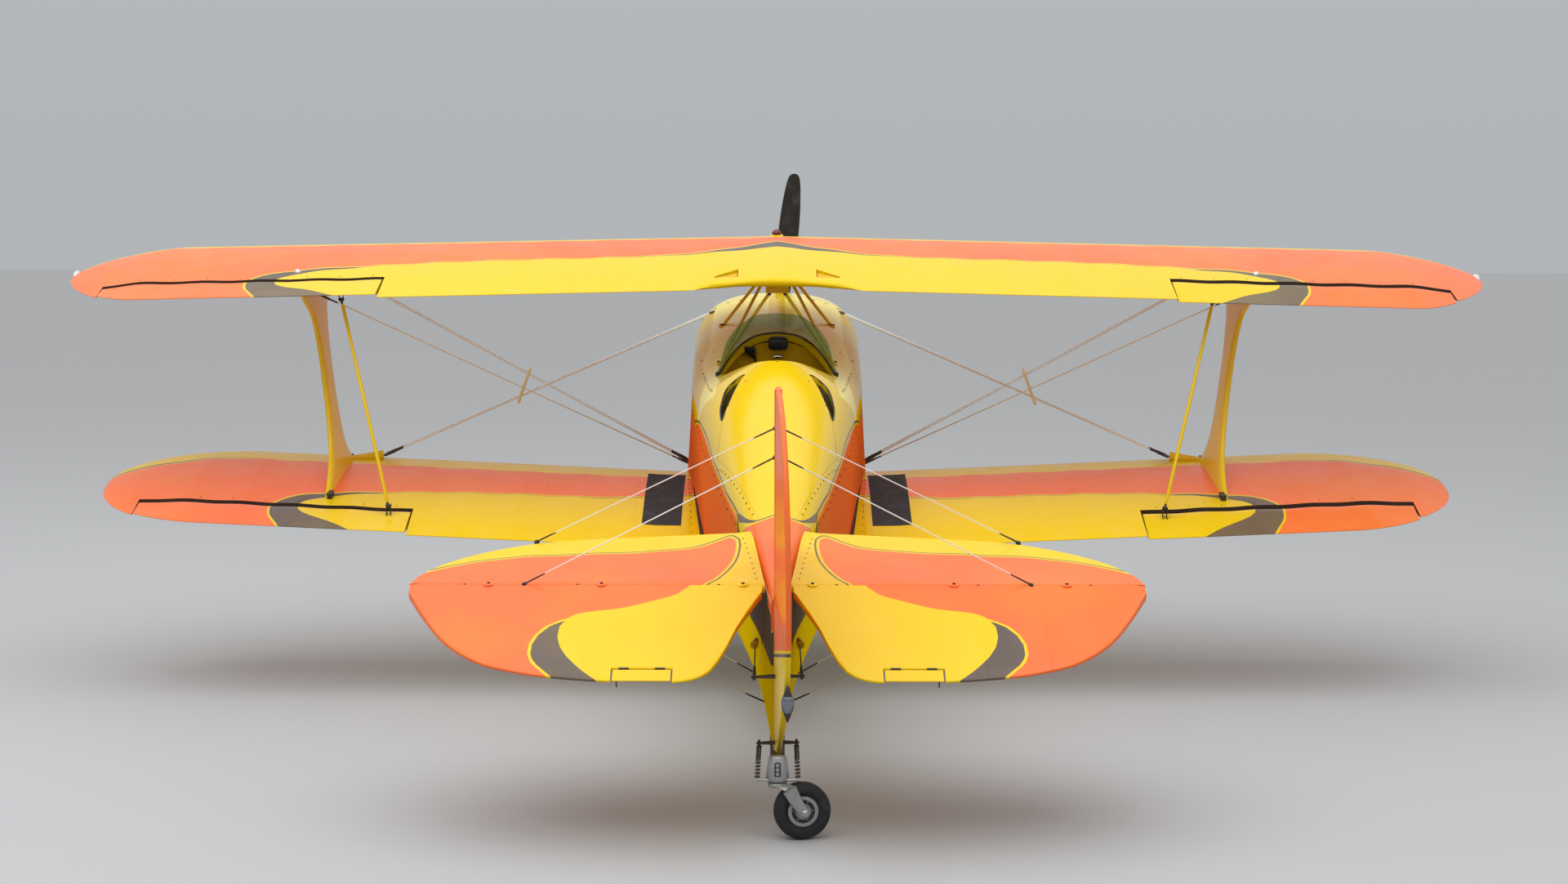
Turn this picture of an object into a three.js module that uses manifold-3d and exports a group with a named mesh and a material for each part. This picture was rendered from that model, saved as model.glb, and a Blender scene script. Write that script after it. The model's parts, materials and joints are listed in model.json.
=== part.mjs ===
// Single-seat aerobatic biplane with a tailwheel, parked on its three wheels.
// Millimetres and degrees. Inside the group "airframe" the aircraft is level: x is starboard, y is forward, z
// is up, and the origin is the centre of the upper wing's leading edge. The last lines tip it tail down and
// stand it on the floor.
import * as THREE from 'three';
import { mergeVertices } from 'three/addons/utils/BufferGeometryUtils.js';
import Module from 'manifold-3d';

const wasm = await Module();
wasm.setup();

const radians = Math.PI / 180;
const gap = 0.3;                 // between pieces that rest on each other
const reach = 3000;              // longer than any piece that a cut goes through

// Wings: lead is y of the leading edge at the centre, root is z of the chord line there. The two edges of a
// tip start to bend at a span, and take up shares of the chord.
const upper = {
  halfSpan: 2643, chord: 914, lead: 0, root: 0, sweep: 6.8, dihedral: 0, incidence: 0,
  tipFront: { start: 2270, power: 1.6, share: 0.43 }, tipRear: { start: 2325, power: 1.5, share: 0.51 },
};
const lower = {
  halfSpan: 2512, chord: 914, lead: -472, root: -862, sweep: 0, dihedral: 2.7, incidence: 0.7,
  tipFront: { start: 1990, power: 1.9, share: 0.474 }, tipRear: { start: 2078, power: 2, share: 0.466 },
};
const aerofoil = { thickness: 0.125, camber: 0.006 };
const aileron = {
  hinge: 0.775, upperIn: 1461, upperOut: 2464, lowerIn: 1342, lowerOut: 2334,
  endGap: 6, spar: 12, nose: 6, rest: 3,
};
const cutOut = { halfWidth: 310, depth: 130 };
const handHold = { inner: 147, outer: 237, front: 690, rear: 810 };
const strut = { lowerX: 1652, upperX: 1757, front: 0.131, rear: 0.685, thick: 38, toe: 14 };
const slave = { lowerX: 1418, upperX: 1606, aft: 50, above: 52, below: 42, radius: 8 };
const wire = {
  radius: 4, twin: 26, root: [362, -150, -862], landing: [238, 60, -272], foot: [1515, -600, -722],
  topX: 1704, frontTop: -57, rearTop: -43,
};

// Fuselage: firewall and post are y.
const firewall = 100;
const post = -3310;
const panel = -505;              // y of the instrument panel's front face
const headrest = -1150;
const skin = 22;
const cockpit = { floor: 60, front: 40, rear: -1640 };
const cabane = { front: [220, -350], rear: [226, -610], top: -60, frontTop: -120, rearTop: -610 };

// Nose.
const thrust = { y: 700, z: -600 };
const prop = { radius: 775, lean: 5.5, hub: 62, depth: 90 };
const spinner = { radius: 160, tip: 930, rear: 655, wall: 3 };
const engine = { width: 540, height: 350, front: 500, rear: 130, z: -612 };

// Tail: hinges are y or z of their axes.
const tail = { z: -424, hinge: -3217, tube: 13, droop: 13.5, spar: 5 };
const rudder = { hinge: -3330, rest: 3.5, tube: 12 };

// Landing gear: track is half the distance between the main wheels.
const mainWheel = { track: 760, y: -250, z: -1410, radius: 180, width: 126, rim: 76 };
const tailWheel = { y: -3620, z: -938, radius: 80, width: 60, rim: 44, trail: 70, swivel: 100 };
const pant = { nose: 400, rear: -560, width: 212, height: 330, clear: 14, cut: -92 };

const finishes = {
  yellow: [0xf2c811, 0.3, 0], orange: [0xf26b38, 0.3, 0], steel: [0xb8bcc0, 0.35, 0.9],
  black: [0x17181a, 0.6, 0], rubber: [0x1b1b1c, 0.85, 0], casting: [0x9a9d9b, 0.5, 0.6],
  tint: [0x6fae6c, 0.1, 0], engine: [0x6d6f70, 0.6, 0.5], leather: [0x26221f, 0.7, 0],
};

const airframe = new THREE.Group();

// Makes a closed geometry a solid, with its faces pointing out.
function solid(geometry) {
  const plain = new THREE.BufferGeometry();
  plain.setAttribute('position', geometry.getAttribute('position').clone());
  if (geometry.index) plain.setIndex(geometry.index.clone());
  const merged = mergeVertices(plain, 1e-3);
  const at = merged.getAttribute('position').array;
  const index = merged.index.array;
  const faces = [];
  let volume = 0;
  for (let i = 0; i < index.length; i += 3) {
    const [a, b, c] = [index[i], index[i + 1], index[i + 2]];
    if (a === b || b === c || c === a) continue;
    faces.push([a, b, c]);
    const [p, q, r] = [a, b, c].map((k) => new THREE.Vector3().fromArray(at, 3 * k));
    volume += p.dot(q.cross(r));
  }
  const triVerts = Uint32Array.from(faces.flatMap(([a, b, c]) => (volume < 0 ? [a, c, b] : [a, b, c])));
  return new wasm.Manifold(new wasm.Mesh({ numProp: 3, vertProperties: Float32Array.from(at), triVerts }));
}

function toGeometry(manifold) {
  const mesh = manifold.getMesh();
  const geometry = new THREE.BufferGeometry();
  geometry.setAttribute('position', new THREE.BufferAttribute(mesh.vertProperties, 3));
  geometry.setIndex(new THREE.BufferAttribute(mesh.triVerts, 1));
  geometry.computeVertexNormals();
  return geometry;
}

function put(name, shape, finish, parent = airframe) {
  const [color, roughness, metalness] = finishes[finish];
  const material = new THREE.MeshStandardMaterial({ color, roughness, metalness });
  const mesh = new THREE.Mesh(shape.isBufferGeometry ? shape : toGeometry(shape), material);
  mesh.name = name;
  parent.add(mesh);
  return mesh;
}

// A group at a hinge, turned about its axis from neutral. What goes into it is moved by local() first.
function hingeGroup(point, axis, degrees, parent = airframe) {
  const group = new THREE.Group();
  group.position.set(...point);
  group.quaternion.setFromAxisAngle(new THREE.Vector3(...axis).normalize(), degrees * radians);
  parent.add(group);
  return group;
}
const local = (shape, point) => shape.translate(point.map((v) => -v));
const join = (shapes) => shapes.reduce((sum, next) => sum.add(next));

// A closed skin through rings of equal point count, capped at both ends.
function loft(rings) {
  const count = rings[0].length;
  const points = rings.flat();
  const faces = [];
  for (let i = 0; i + 1 < rings.length; i++) {
    for (let k = 0; k < count; k++) {
      const [a, b] = [i * count + k, i * count + (k + 1) % count];
      faces.push(a, b, b + count, a, b + count, a + count);
    }
  }
  for (const end of [0, rings.length - 1]) {
    const centre = rings[end].reduce((sum, p) => sum.map((v, i) => v + p[i] / count), [0, 0, 0]);
    points.push(centre);
    for (let k = 0; k < count; k++) {
      const [a, b] = [end * count + k, end * count + (k + 1) % count];
      faces.push(...(end === 0 ? [points.length - 1, b, a] : [points.length - 1, a, b]));
    }
  }
  const geometry = new THREE.BufferGeometry();
  geometry.setAttribute('position', new THREE.Float32BufferAttribute(points.flat(), 3));
  geometry.setIndex(faces);
  return solid(geometry);
}

function box(low, high) {
  const geometry = new THREE.BoxGeometry(...high.map((v, i) => v - low[i]));
  return solid(geometry.translate(...high.map((v, i) => (v + low[i]) / 2)));
}

// The same box on the starboard or the port side.
function sideBox(side, low, high) {
  const [a, b] = [side * low[0], side * high[0]].sort((p, q) => p - q);
  return box([a, low[1], low[2]], [b, high[1], high[2]]);
}

// A prism with the given outline of [x, y] points, from one z to another.
function prism(outline, low, high) {
  const shape = new THREE.Shape(outline.map(([x, y]) => new THREE.Vector2(x, y)));
  const geometry = new THREE.ExtrudeGeometry(shape, { depth: high - low, bevelEnabled: false });
  return solid(geometry.translate(0, 0, low));
}

const lerp = (a, b, t) => a.map((v, i) => v + (b[i] - v) * t);

// A flattened bar through stations of [centre, chord, thickness]. The chord lies along chordAxis.
function blade(stations, chordAxis, sides = 10) {
  const first = new THREE.Vector3(...stations[0][0]);
  const run = new THREE.Vector3(...stations.at(-1)[0]).sub(first).normalize();
  const across = new THREE.Vector3(...chordAxis);
  across.addScaledVector(run, -across.dot(run)).normalize();
  const through = new THREE.Vector3().crossVectors(run, across);
  return loft(stations.map(([centre, chord, thick]) => Array.from({ length: sides }, (_, k) => {
    const angle = 2 * Math.PI * (k + 0.5) / sides;
    const p = new THREE.Vector3(...centre);
    p.addScaledVector(across, chord / 2 * Math.cos(angle));
    p.addScaledVector(through, thick / 2 * Math.sin(angle));
    return p.toArray();
  })));
}
const rod = (a, b, radius, sides = 8, side = [0.13, 0.91, 0.4]) => blade(
  [[a, 2 * radius, 2 * radius], [b, 2 * radius, 2 * radius]], side, sides);

// A turned piece from a profile of [radius, along] points, about the x axis.
function turned(profile, segments = 32) {
  const points = profile.map(([r, along]) => new THREE.Vector2(r, along));
  return solid(new THREE.LatheGeometry(points, segments).rotateZ(-Math.PI / 2));
}

// Wings.
const aerofoilShares = [1, 0.9, 0.775, 0.6, 0.45, 0.3, 0.18, 0.09, 0.035, 0.008];

function aerofoilHeight(share, side) {
  const { thickness, camber } = aerofoil;
  const root = Math.sqrt(share);
  const half = 5 * thickness * (0.2969 * root - 0.126 * share - 0.3516 * share ** 2
    + 0.2843 * share ** 3 - 0.1015 * share ** 4);
  return 4 * camber * share * (1 - share) + side * half;
}

// Leading edge, trailing edge and thickness share at a span station.
function planform(wing, x) {
  const { halfSpan, chord, tipFront, tipRear, sweep, lead } = wing;
  const bend = ({ start, power }) => {
    const out = Math.max(0, (x - start) / (halfSpan - start));
    return 1 - Math.max(0, 1 - out ** power) ** (1 / power);
  };
  const edge = lead - x * Math.tan(sweep * radians);
  const front = edge - bend(tipFront) * tipFront.share * chord;
  const rear = edge - chord + bend(tipRear) * tipRear.share * chord;
  return { front, rear, plump: 1 - 0.1 * bend(tipFront) };
}

function wingRing(wing, x, side, grow) {
  const { front, rear, plump } = planform(wing, x);
  const edge = wing.lead - x * Math.tan(wing.sweep * radians);
  const chord = front - rear;
  const base = wing.root + x * Math.tan(wing.dihedral * radians);
  const slope = Math.tan(wing.incidence * radians);
  const at = (share, face) => {
    const y = front - share * chord;
    const height = aerofoilHeight(share, face) * chord * plump + face * grow;
    return [side * x, share === 0 ? y + grow : y, base + (y - edge) * slope + height];
  };
  const top = aerofoilShares.map((share) => at(share, 1));
  const under = aerofoilShares.map((share) => at(share, -1)).reverse();
  return [...top, at(0, 0), ...under];
}

const tipShares = [0, 0.22, 0.42, 0.6, 0.75, 0.87, 0.945, 0.985, 1];

function wingSolid(wing, side, from, grow = 0) {
  const { halfSpan, tipFront } = wing;
  const tip = tipShares.map((t) => tipFront.start + t * (halfSpan - tipFront.start));
  return loft([from, ...tip].map((x) => wingRing(wing, x, side, grow)));
}

function hingeAt(wing, x, side) {
  const slope = Math.tan(wing.incidence * radians);
  const back = aileron.hinge * wing.chord;
  const mid = aerofoilHeight(aileron.hinge, 0) * wing.chord;
  return [
    side * x,
    wing.lead - x * Math.tan(wing.sweep * radians) - back,
    wing.root + x * Math.tan(wing.dihedral * radians) - back * slope + mid,
  ];
}

// A prism over the span from xIn to xOut, from shift ahead of the hinge line to behind the wing.
function behindHinge(wing, side, xIn, xOut, shift) {
  const [front, back] = [hingeAt(wing, xIn, side), hingeAt(wing, xOut, side)];
  return prism([
    [front[0], front[1] + shift], [back[0], back[1] + shift],
    [back[0], back[1] - 600], [front[0], front[1] - 600],
  ], -reach, reach);
}

function withoutAilerons(shape, wing, xIn, xOut, side) {
  const { endGap, spar } = aileron;
  return shape.subtract(behindHinge(wing, side, xIn - endGap, xOut + endGap, spar));
}

const upperHalf = (side, grow = 0) => wingSolid(upper, side, 0, grow);

function upperWing() {
  const { halfWidth, depth } = cutOut;
  const rear = -upper.chord - halfWidth * Math.tan(upper.sweep * radians);
  const steps = 6;
  const arc = Array.from({ length: 2 * steps + 1 }, (_, i) => {
    const t = i / steps - 1;
    return [t * halfWidth, rear + depth * Math.cos(t * Math.PI / 2) ** 0.7];
  });
  let shape = upperHalf(1).add(upperHalf(-1));
  shape = shape.subtract(prism([...arc, [halfWidth, rear - 200], [-halfWidth, rear - 200]], -reach, reach));
  for (const side of [1, -1]) {
    shape = withoutAilerons(shape, upper, aileron.upperIn, aileron.upperOut, side);
    const { inner, outer, front, rear: back } = handHold;
    shape = shape.subtract(prism([
      [side * inner, -front], [side * inner, -back + 10], [side * outer, -back - 8],
    ], -reach, reach));
  }
  return shape;
}

// Fuselage stations: y, bottom z, bottom half width, longeron z, longeron half width, crown z, crown
// roundness, and how far the shoulder dips beside the cockpit.
const fuselageStations = [
  [100, -930, 345, -500, 335, -242, 2.35, 0],
  [-300, -950, 355, -500, 333, -255, 2.35, 0],
  [-500, -955, 355, -497, 329, -265, 2.35, 28],
  [-650, -956, 337, -493, 325, -255, 2.3, 56],
  [-800, -957, 318, -490, 315, -245, 2.3, 62],
  [-1000, -957, 295, -486, 298, -229, 2.2, 44],
  [-1150, -957, 278, -483, 285, -217, 2.2, 22],
  [-1450, -950, 240, -478, 255, -238, 2.1, 0],
  [-2180, -916, 134, -462, 165, -318, 2, 0],
  [-2680, -895, 66, -450, 88, -385, 2, 0],
  [-3000, -882, 36, -444, 50, -402, 2, 0],
  [-3310, -869, 15, -438, 20, -411, 2, 0],
];

// Cowling stations in the same columns.
const cowlStations = [
  [636, -795, 185, -592, 212, -392, 2.2, 0],
  [600, -838, 258, -580, 274, -350, 2.3, 0],
  [510, -885, 312, -550, 311, -311, 2.35, 0],
  [300, -915, 338, -520, 330, -267, 2.35, 0],
  [100, -930, 345, -500, 335, -242, 2.35, 0],
];

// Deck height at a share of the half width.
function deckHeight(share, side, top, roundness, dip) {
  const s = Math.min(1, share);
  return side + (1 - s ** roundness) ** (1 / roundness) * (top - side) - dip * Math.sin(Math.PI * s ** 1.6);
}

function bodyRing([y, bottom, bottomHalf, side, sideHalf, top, roundness, dip], grow) {
  const corner = Math.min(30, bottomHalf * 0.5);
  const half = [
    [0, bottom - grow], [bottomHalf - corner, bottom - grow], [bottomHalf + grow, bottom + corner],
    [sideHalf + grow, side],
  ];
  for (const share of [0.985, 0.93, 0.84, 0.73, 0.6, 0.43, 0.22]) {
    half.push([share * (sideHalf + grow), deckHeight(share, side, top + grow, roundness, dip)]);
  }
  const ring = [...half, [0, top + grow], ...half.slice(1).reverse().map(([x, z]) => [-x, z])];
  return ring.map(([x, z]) => [x, y, z]);
}

const station = (table, y) => {
  const i = Math.max(1, table.findIndex((row) => row[0] <= y));
  const [a, b] = [table[i - 1], table[i]];
  return lerp(a, b, (a[0] - y) / (a[0] - b[0]));
};

// The part of a body between two stations, grown or shrunk by an even amount.
function bodySolid(table, from, to, grow = 0) {
  const inside = table.filter((row) => row[0] < from && row[0] > to);
  return loft([station(table, from), ...inside, station(table, to)].map((row) => bodyRing(row, grow)));
}

// Height of the deck at a point of the plan.
function deckZ(x, y) {
  const [, , , side, sideHalf, top, roundness, dip] = station(fuselageStations, y);
  return deckHeight(Math.abs(x) / sideHalf, side, top, roundness, dip);
}

// Plan of the cockpit opening, the headrest fairing and the dark crescents beside it: [x, y], starboard.
const openingSide = [
  [0, -500], [83, -508], [134, -560], [165, -605], [191, -665], [205, -740], [208, -806], [200, -838],
  [166, -889], [129, -973], [87, -1090], [47, -1135], [0, headrest],
];
const humpSide = [
  [0, headrest - 12], [62, -1166], [122, -1256], [144, -1345], [165, -1451], [180, -1517], [192, -1590],
  [206, -1800], [60, -2590],
];
const crescentSide = [
  [118, -1246], [157, -1259], [184, -1306], [197, -1409], [200, -1475], [193, -1572], [180, -1517],
  [165, -1451], [144, -1345],
];
const bothSides = (half) => [
  ...half, ...half.slice().reverse().filter(([x]) => x > 0).map(([x, y]) => [-x, y]),
];

function fuselageParts() {
  const { floor, front, rear } = cockpit;
  const whole = bodySolid(fuselageStations, firewall, post);
  const hollow = bodySolid(fuselageStations, front, rear, -skin).intersect(
    box([-reach, rear, -957 + floor], [reach, front, reach]));
  const crescent = (side) => prism(crescentSide.map(([x, y]) => [side * x, y]), -440, reach);
  const crescents = crescent(1).add(crescent(-1));
  const opening = prism(bothSides(openingSide), -470, reach).add(crescents);
  const shell = whole.subtract(hollow).subtract(opening);
  const deck = box([-reach, panel + 2, -488], [reach, reach, reach]);
  const hump = prism(bothSides(humpSide), -440, reach);
  const grown = (shape) => join([shape, ...[-gap, gap].flatMap((d) => [
    shape.translate([d, 0, 0]), shape.translate([0, d, 0]), shape.translate([0, 0, d])])]);
  // The torque tube of the elevators turns in a bore through the tail.
  const bore = rod([-90, tail.hinge, tail.z], [90, tail.hinge, tail.z], tail.tube + 5, 16, [0, 0, 1]);
  const bay = box([-reach, tail.hinge - tail.tube - 6, tail.z - 5], [reach, tail.hinge + 5, reach]);
  return {
    tub: shell.subtract(grown(deck)).subtract(grown(hump)).subtract(bore).subtract(bay),
    deck: shell.intersect(deck),
    hump: whole.intersect(hump).subtract(hollow).subtract(opening),
  };
}

// Cabane: feet on the deck, tops in two blocks under the upper wing.
function cabaneStruts() {
  const { front, rear, top, frontTop, rearTop } = cabane;
  const footAt = (side, [x, y], lift) => [side * x, y, deckZ(x, y) + lift];
  const parts = [];
  for (const side of [1, -1]) {
    const frontFoot = footAt(side, front, -12);
    const rearFoot = footAt(side, rear, -12);
    parts.push(rod(frontFoot, [side * 12, frontTop, top], 9, 10));
    parts.push(rod(rearFoot, [side * 12, rearTop, top + 2], 8.5, 10));
    parts.push(rod(rearFoot, [side * 18, frontTop - 24, top + 2], 8, 10));
    parts.push(rod(frontFoot, footAt(side, front, 12), 20, 8));
    parts.push(rod(rearFoot, footAt(side, rear, 14), 16, 8));
  }
  parts.push(box([-46, frontTop - 50, top - 14], [46, frontTop + 34, 0]));
  parts.push(box([-40, rearTop - 34, top - 16], [40, rearTop + 34, 0]));
  const wing = join([1, -1].map((side) => upperHalf(side, gap)));
  return join(parts).subtract(wing).subtract(bodySolid(fuselageStations, 90, -1200, gap));
}

// Windscreen, starboard half: base x, base y, then the middle and the upper edge as x, y, z.
const screenThick = 3.5;
const screenRows = [
  [0, -478, 0, -575, -207, 0, -640, -153], [80, -486, 80, -580, -222, 81, -642, -160],
  [126, -524, 126, -622, -245, 126, -664, -183], [158, -568, 156, -632, -292, 152, -674, -201],
  [184, -624, 186, -668, -316, 187, -696, -246], [203, -692, 204, -706, -328, 204, -718, -286],
  [213, -745, 214, -750, -346, 215, -752, -326], [221, -792, 222, -792, -353, 222, -790, -350],
];

function windscreen() {
  const rows = [
    ...screenRows.slice(1).reverse().map((row) => [-1, row]), ...screenRows.map((row) => [1, row]),
  ];
  const rings = rows.map(([side, [bx, by, mx, my, mz, ex, ey, ez]], i) => {
    const around = new THREE.Vector3(bx * 0.9, by + 760, 130).normalize();
    const out = ([x, y, z], share) => [
      side * (x + share * around.x), y + share * around.y, z + share * around.z];
    const points = [[bx, by, deckZ(bx, by) + 2], [mx, my, mz], [ex, ey, ez]];
    return [...points.map((p) => out(p, 0)), ...points.slice().reverse().map((p) => out(p, screenThick))];
  });
  return loft(rings).subtract(bodySolid(fuselageStations, 90, -1200, gap));
}

// Interplane strut: wide at both wings and narrow between. Columns: share of the height, width as a share of
// the distance between the spars.
const strutShape = [
  [-0.06, 1.02], [0, 1], [0.06, 0.74], [0.16, 0.46], [0.32, 0.31], [0.5, 0.28], [0.68, 0.33], [0.84, 0.54],
  [0.94, 0.9], [1, 1.02], [1.06, 1.02],
];

function interplaneStrut(side) {
  const spars = strut.rear - strut.front;
  const middle = (strut.rear + strut.front) / 2;
  const foot = (wing, x) => [
    side * x,
    wing.lead - x * Math.tan(wing.sweep * radians) - middle * wing.chord,
    wing.root + x * Math.tan(wing.dihedral * radians)
      - middle * wing.chord * Math.tan(wing.incidence * radians),
  ];
  const low = foot(lower, strut.lowerX);
  const high = foot(upper, strut.upperX);
  low[2] += 40;
  high[2] -= 34;
  const rings = strutShape.map(([share, width]) => {
    const [x, y, z] = lerp(low, high, share);
    const half = width * spars * upper.chord / 2;
    const toe = side * strut.toe * (1 - share) * width;
    return Array.from({ length: 12 }, (_, k) => {
      const angle = 2 * Math.PI * (k + 0.5) / 12;
      const lean = toe * Math.cos(angle);
      return [x - lean + strut.thick / 2 * Math.sin(angle), y + half * Math.cos(angle), z];
    });
  });
  const fairing = blade([
    [[side * (strut.lowerX - 6), -620, -728], 14, 12], [[side * (wire.foot[0] + 9), -600, -722], 34, 14],
  ], [0, 0.25, 1], 8);
  return loft(rings).add(fairing)
    .subtract(wingSolid(lower, side, 300, gap)).subtract(upperHalf(side, gap));
}

// Slave strut: from a fork on the lower aileron to the upper one.
const slaveFoot = (side) => {
  const hinge = hingeAt(lower, slave.lowerX, side);
  return [hinge[0], hinge[1] - slave.aft, hinge[2] + slave.above];
};
const slaveTop = (side) => {
  const hinge = hingeAt(upper, slave.upperX, side);
  return [hinge[0], hinge[1] - slave.aft, hinge[2] - slave.below];
};

// Wires: a twin runs beside its line, and its ends meet in forks.
function twinWire(from, to, spread) {
  const shift = (p, d) => [p[0], p[1] + d, p[2]];
  const pair = [1, -1].map((s) => rod(
    shift(from, s * spread / 2), shift(to, s * spread / 2), wire.radius, 6));
  const fork = (p, q) => {
    const ahead = lerp(p, q, 70 / Math.hypot(...p.map((v, i) => v - q[i])));
    return blade([[p, spread + 14, 12], [ahead, spread + 12, 11]], [0, 1, 0], 8);
  };
  return join([...pair, fork(from, to), fork(to, from)]);
}

// Tail surfaces, starboard half: x, leading edge y of the stabiliser. The fuselage cuts off its root.
const stabiliserEdge = [
  [8, -2660], [104, -2676], [380, -2722], [620, -2762], [740, -2800], [880, -2890], [985, -3000],
  [1045, -3110], [1066, -3180],
];
// Starboard elevator: x, distance of the trailing edge behind the hinge.
const elevatorEdge = [
  [46, 24], [116, 210], [155, 345], [200, 440], [286, 478], [462, 474], [620, 455], [724, 430], [831, 384],
  [932, 287], [1010, 150], [1064, 30],
];
const tab = { inner: 290, outer: 460, front: -413, rear: -470, gap: 5, half: 4 };

// A flat lens between two edges at one span station. Ring points run round it.
function tailRing(x, front, rear, thick, side) {
  const mid = (front + rear) / 2;
  return [
    [front, 0], [front - 10, thick * 0.7], [mid, thick], [rear + 8, thick * 0.8], [rear, 0.45 * thick],
    [rear, -0.45 * thick], [rear + 8, -thick * 0.8], [mid, -thick], [front - 10, -thick * 0.7],
  ].map(([y, z]) => [side * x, y, z]);
}

function stabiliser(side) {
  const rear = tail.hinge + tail.tube + tail.spar;
  const rows = stabiliserEdge.map(([x, front]) => tailRing(x, front, rear, 15, side));
  const wing = loft(rows.map((ring) => ring.map(([x, y, z]) => [x, y, z + tail.z])));
  return wing.subtract(bodySolid(fuselageStations, -2500, post, gap));
}

// Elevator about its hinge, which is the x axis here: front tube, flat surface, and the tab's notch.
function elevator(side) {
  const rows = elevatorEdge.map(([x, chord]) => {
    const taper = (s) => tail.tube * (1 - 0.72 * s / 480);
    const mid = chord / 2;
    return [
      [0, tail.tube], [-mid, taper(mid)], [-chord, taper(chord)], [-chord, -taper(chord)],
      [-mid, -taper(mid)], [0, -tail.tube],
    ].map(([y, z]) => [side * x, y, z]);
  });
  const tube = rod([side * 46, 0, 0], [side * 1064, 0, 0], tail.tube, 12, [0, 0, 1]);
  const notch = sideBox(side, [tab.inner, -reach, -reach], [tab.outer, tab.front, reach]);
  return loft(rows).add(tube).subtract(notch);
}

const trimTab = (side) => sideBox(
  side, [tab.inner + tab.gap, tab.rear, -tab.half], [tab.outer - tab.gap, tab.front - tab.gap, tab.half]);

// Fin and rudder outlines in [y, z].
const finOutline = [
  [-2760, -402], [-2870, -250], [-3010, -40], [-3100, 90], [-3170, 155], [-3240, 190], [-3310, 203],
  [-3310, -402],
];
const rudderOutline = [
  [-3330, 205], [-3400, 200], [-3490, 175], [-3580, 125], [-3660, 50], [-3730, -60], [-3775, -180],
  [-3790, -300], [-3785, -400], [-3765, -480], [-3735, -530], [-3520, -740], [-3380, -862], [-3330, -868],
];

// An upright plate from an outline in [y, z], thinner towards its edge.
function upright(outline, half) {
  const shape = new THREE.Shape(outline.map(([y, z]) => new THREE.Vector2(y, z)));
  const geometry = new THREE.ExtrudeGeometry(shape, {
    depth: 2 * half - 12, bevelEnabled: true, bevelThickness: 6, bevelSize: 6, bevelOffset: -6,
    bevelSegments: 2,
  });
  geometry.translate(0, 0, -half + 6);
  return solid(geometry.applyMatrix4(new THREE.Matrix4().makeBasis(
    new THREE.Vector3(0, 1, 0), new THREE.Vector3(0, 0, 1), new THREE.Vector3(1, 0, 0))));
}

function fin() {
  return upright(finOutline, 13).subtract(bodySolid(fuselageStations, -2400, post, gap))
    .subtract(box([-reach, tail.hinge - 20, tail.z - 30], [reach, tail.hinge + 20, tail.z + 22]));
}

function rudderShape() {
  const hingeZ = [-868, 205];
  const tube = rod([0, rudder.hinge, hingeZ[0]], [0, rudder.hinge, hingeZ[1]], rudder.tube, 12, [0, 1, 0]);
  const horn = (z, half) => box([-half, rudder.hinge - 18, z - 5], [half, rudder.hinge, z + 5]);
  const lamp = blade([
    [[0, -3742, -530], 22, 18], [[0, -3762, -560], 40, 34], [[0, -3760, -600], 26, 24],
  ], [0, 1, 0], 8);
  return join([upright(rudderOutline, 11), tube, horn(-640, 77), horn(-842, 62), lamp]);
}

// Landing gear.
function gearLeg(side) {
  const { track, y, z } = mainWheel;
  const leg = blade([
    [[side * 300, -235, -900], 660, 30], [[side * 352, -238, -985], 560, 30],
    [[side * (track - 130), y, z + 26], 150, 34], [[side * (track - 84), y, z], 96, 46],
  ], [0, 1, 0], 12);
  const axle = rod([side * (track - 130), y, z], [side * (track + 48), y, z], 19, 16, [0, 0, 1]);
  const body = bodySolid(fuselageStations, firewall, -1200, gap);
  return leg.subtract(pantBody(side, gap)).add(axle).subtract(body);
}

function gearTruss() {
  const { track, y, z } = mainWheel;
  const block = [0, y, -1170];
  const parts = [box([-70, y - 55, -1205], [70, y + 55, -1135])];
  for (const side of [1, -1]) {
    for (const top of [-70, -430]) {
      parts.push(rod([side * 150, top, -925], [side * 30, y, block[2] + 10], 12));
    }
    parts.push(rod([side * 40, y, block[2]], [side * (track - 128), y, z + 12], 15));
  }
  const legs = join([1, -1].map((side) => gearLeg(side)));
  const grown = join([[gap, 0, 0], [-gap, 0, 0], [0, 0, gap], [0, 0, -gap]].map((d) => legs.translate(d)));
  return join(parts).subtract(bodySolid(fuselageStations, firewall, -1200, gap)).subtract(grown);
}

// Wheel fairing stations: y from the axle, width share, height share, z from the axle.
const pantStations = [
  [1, 0.05, 0.05, 0], [0.96, 0.26, 0.27, 0], [0.8, 0.6, 0.6, 5], [0.5, 0.9, 0.88, 14], [0.1, 1, 1, 22],
  [-0.25, 0.97, 0.95, 28], [-0.6, 0.66, 0.66, 34], [-0.88, 0.26, 0.32, 40], [-1, 0.05, 0.08, 42],
];

function pantBody(side, grow) {
  const { nose, rear, width, height } = pant;
  const { track, y, z } = mainWheel;
  return loft(pantStations.map(([along, wide, high, lift]) => Array.from({ length: 16 }, (_, k) => {
    const angle = 2 * Math.PI * k / 16;
    return [
      side * track + (wide * width / 2 + grow) * Math.cos(angle),
      y + (along > 0 ? along * nose : -along * rear),
      z + lift + (high * height / 2 + grow) * Math.sin(angle),
    ];
  })));
}

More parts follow.
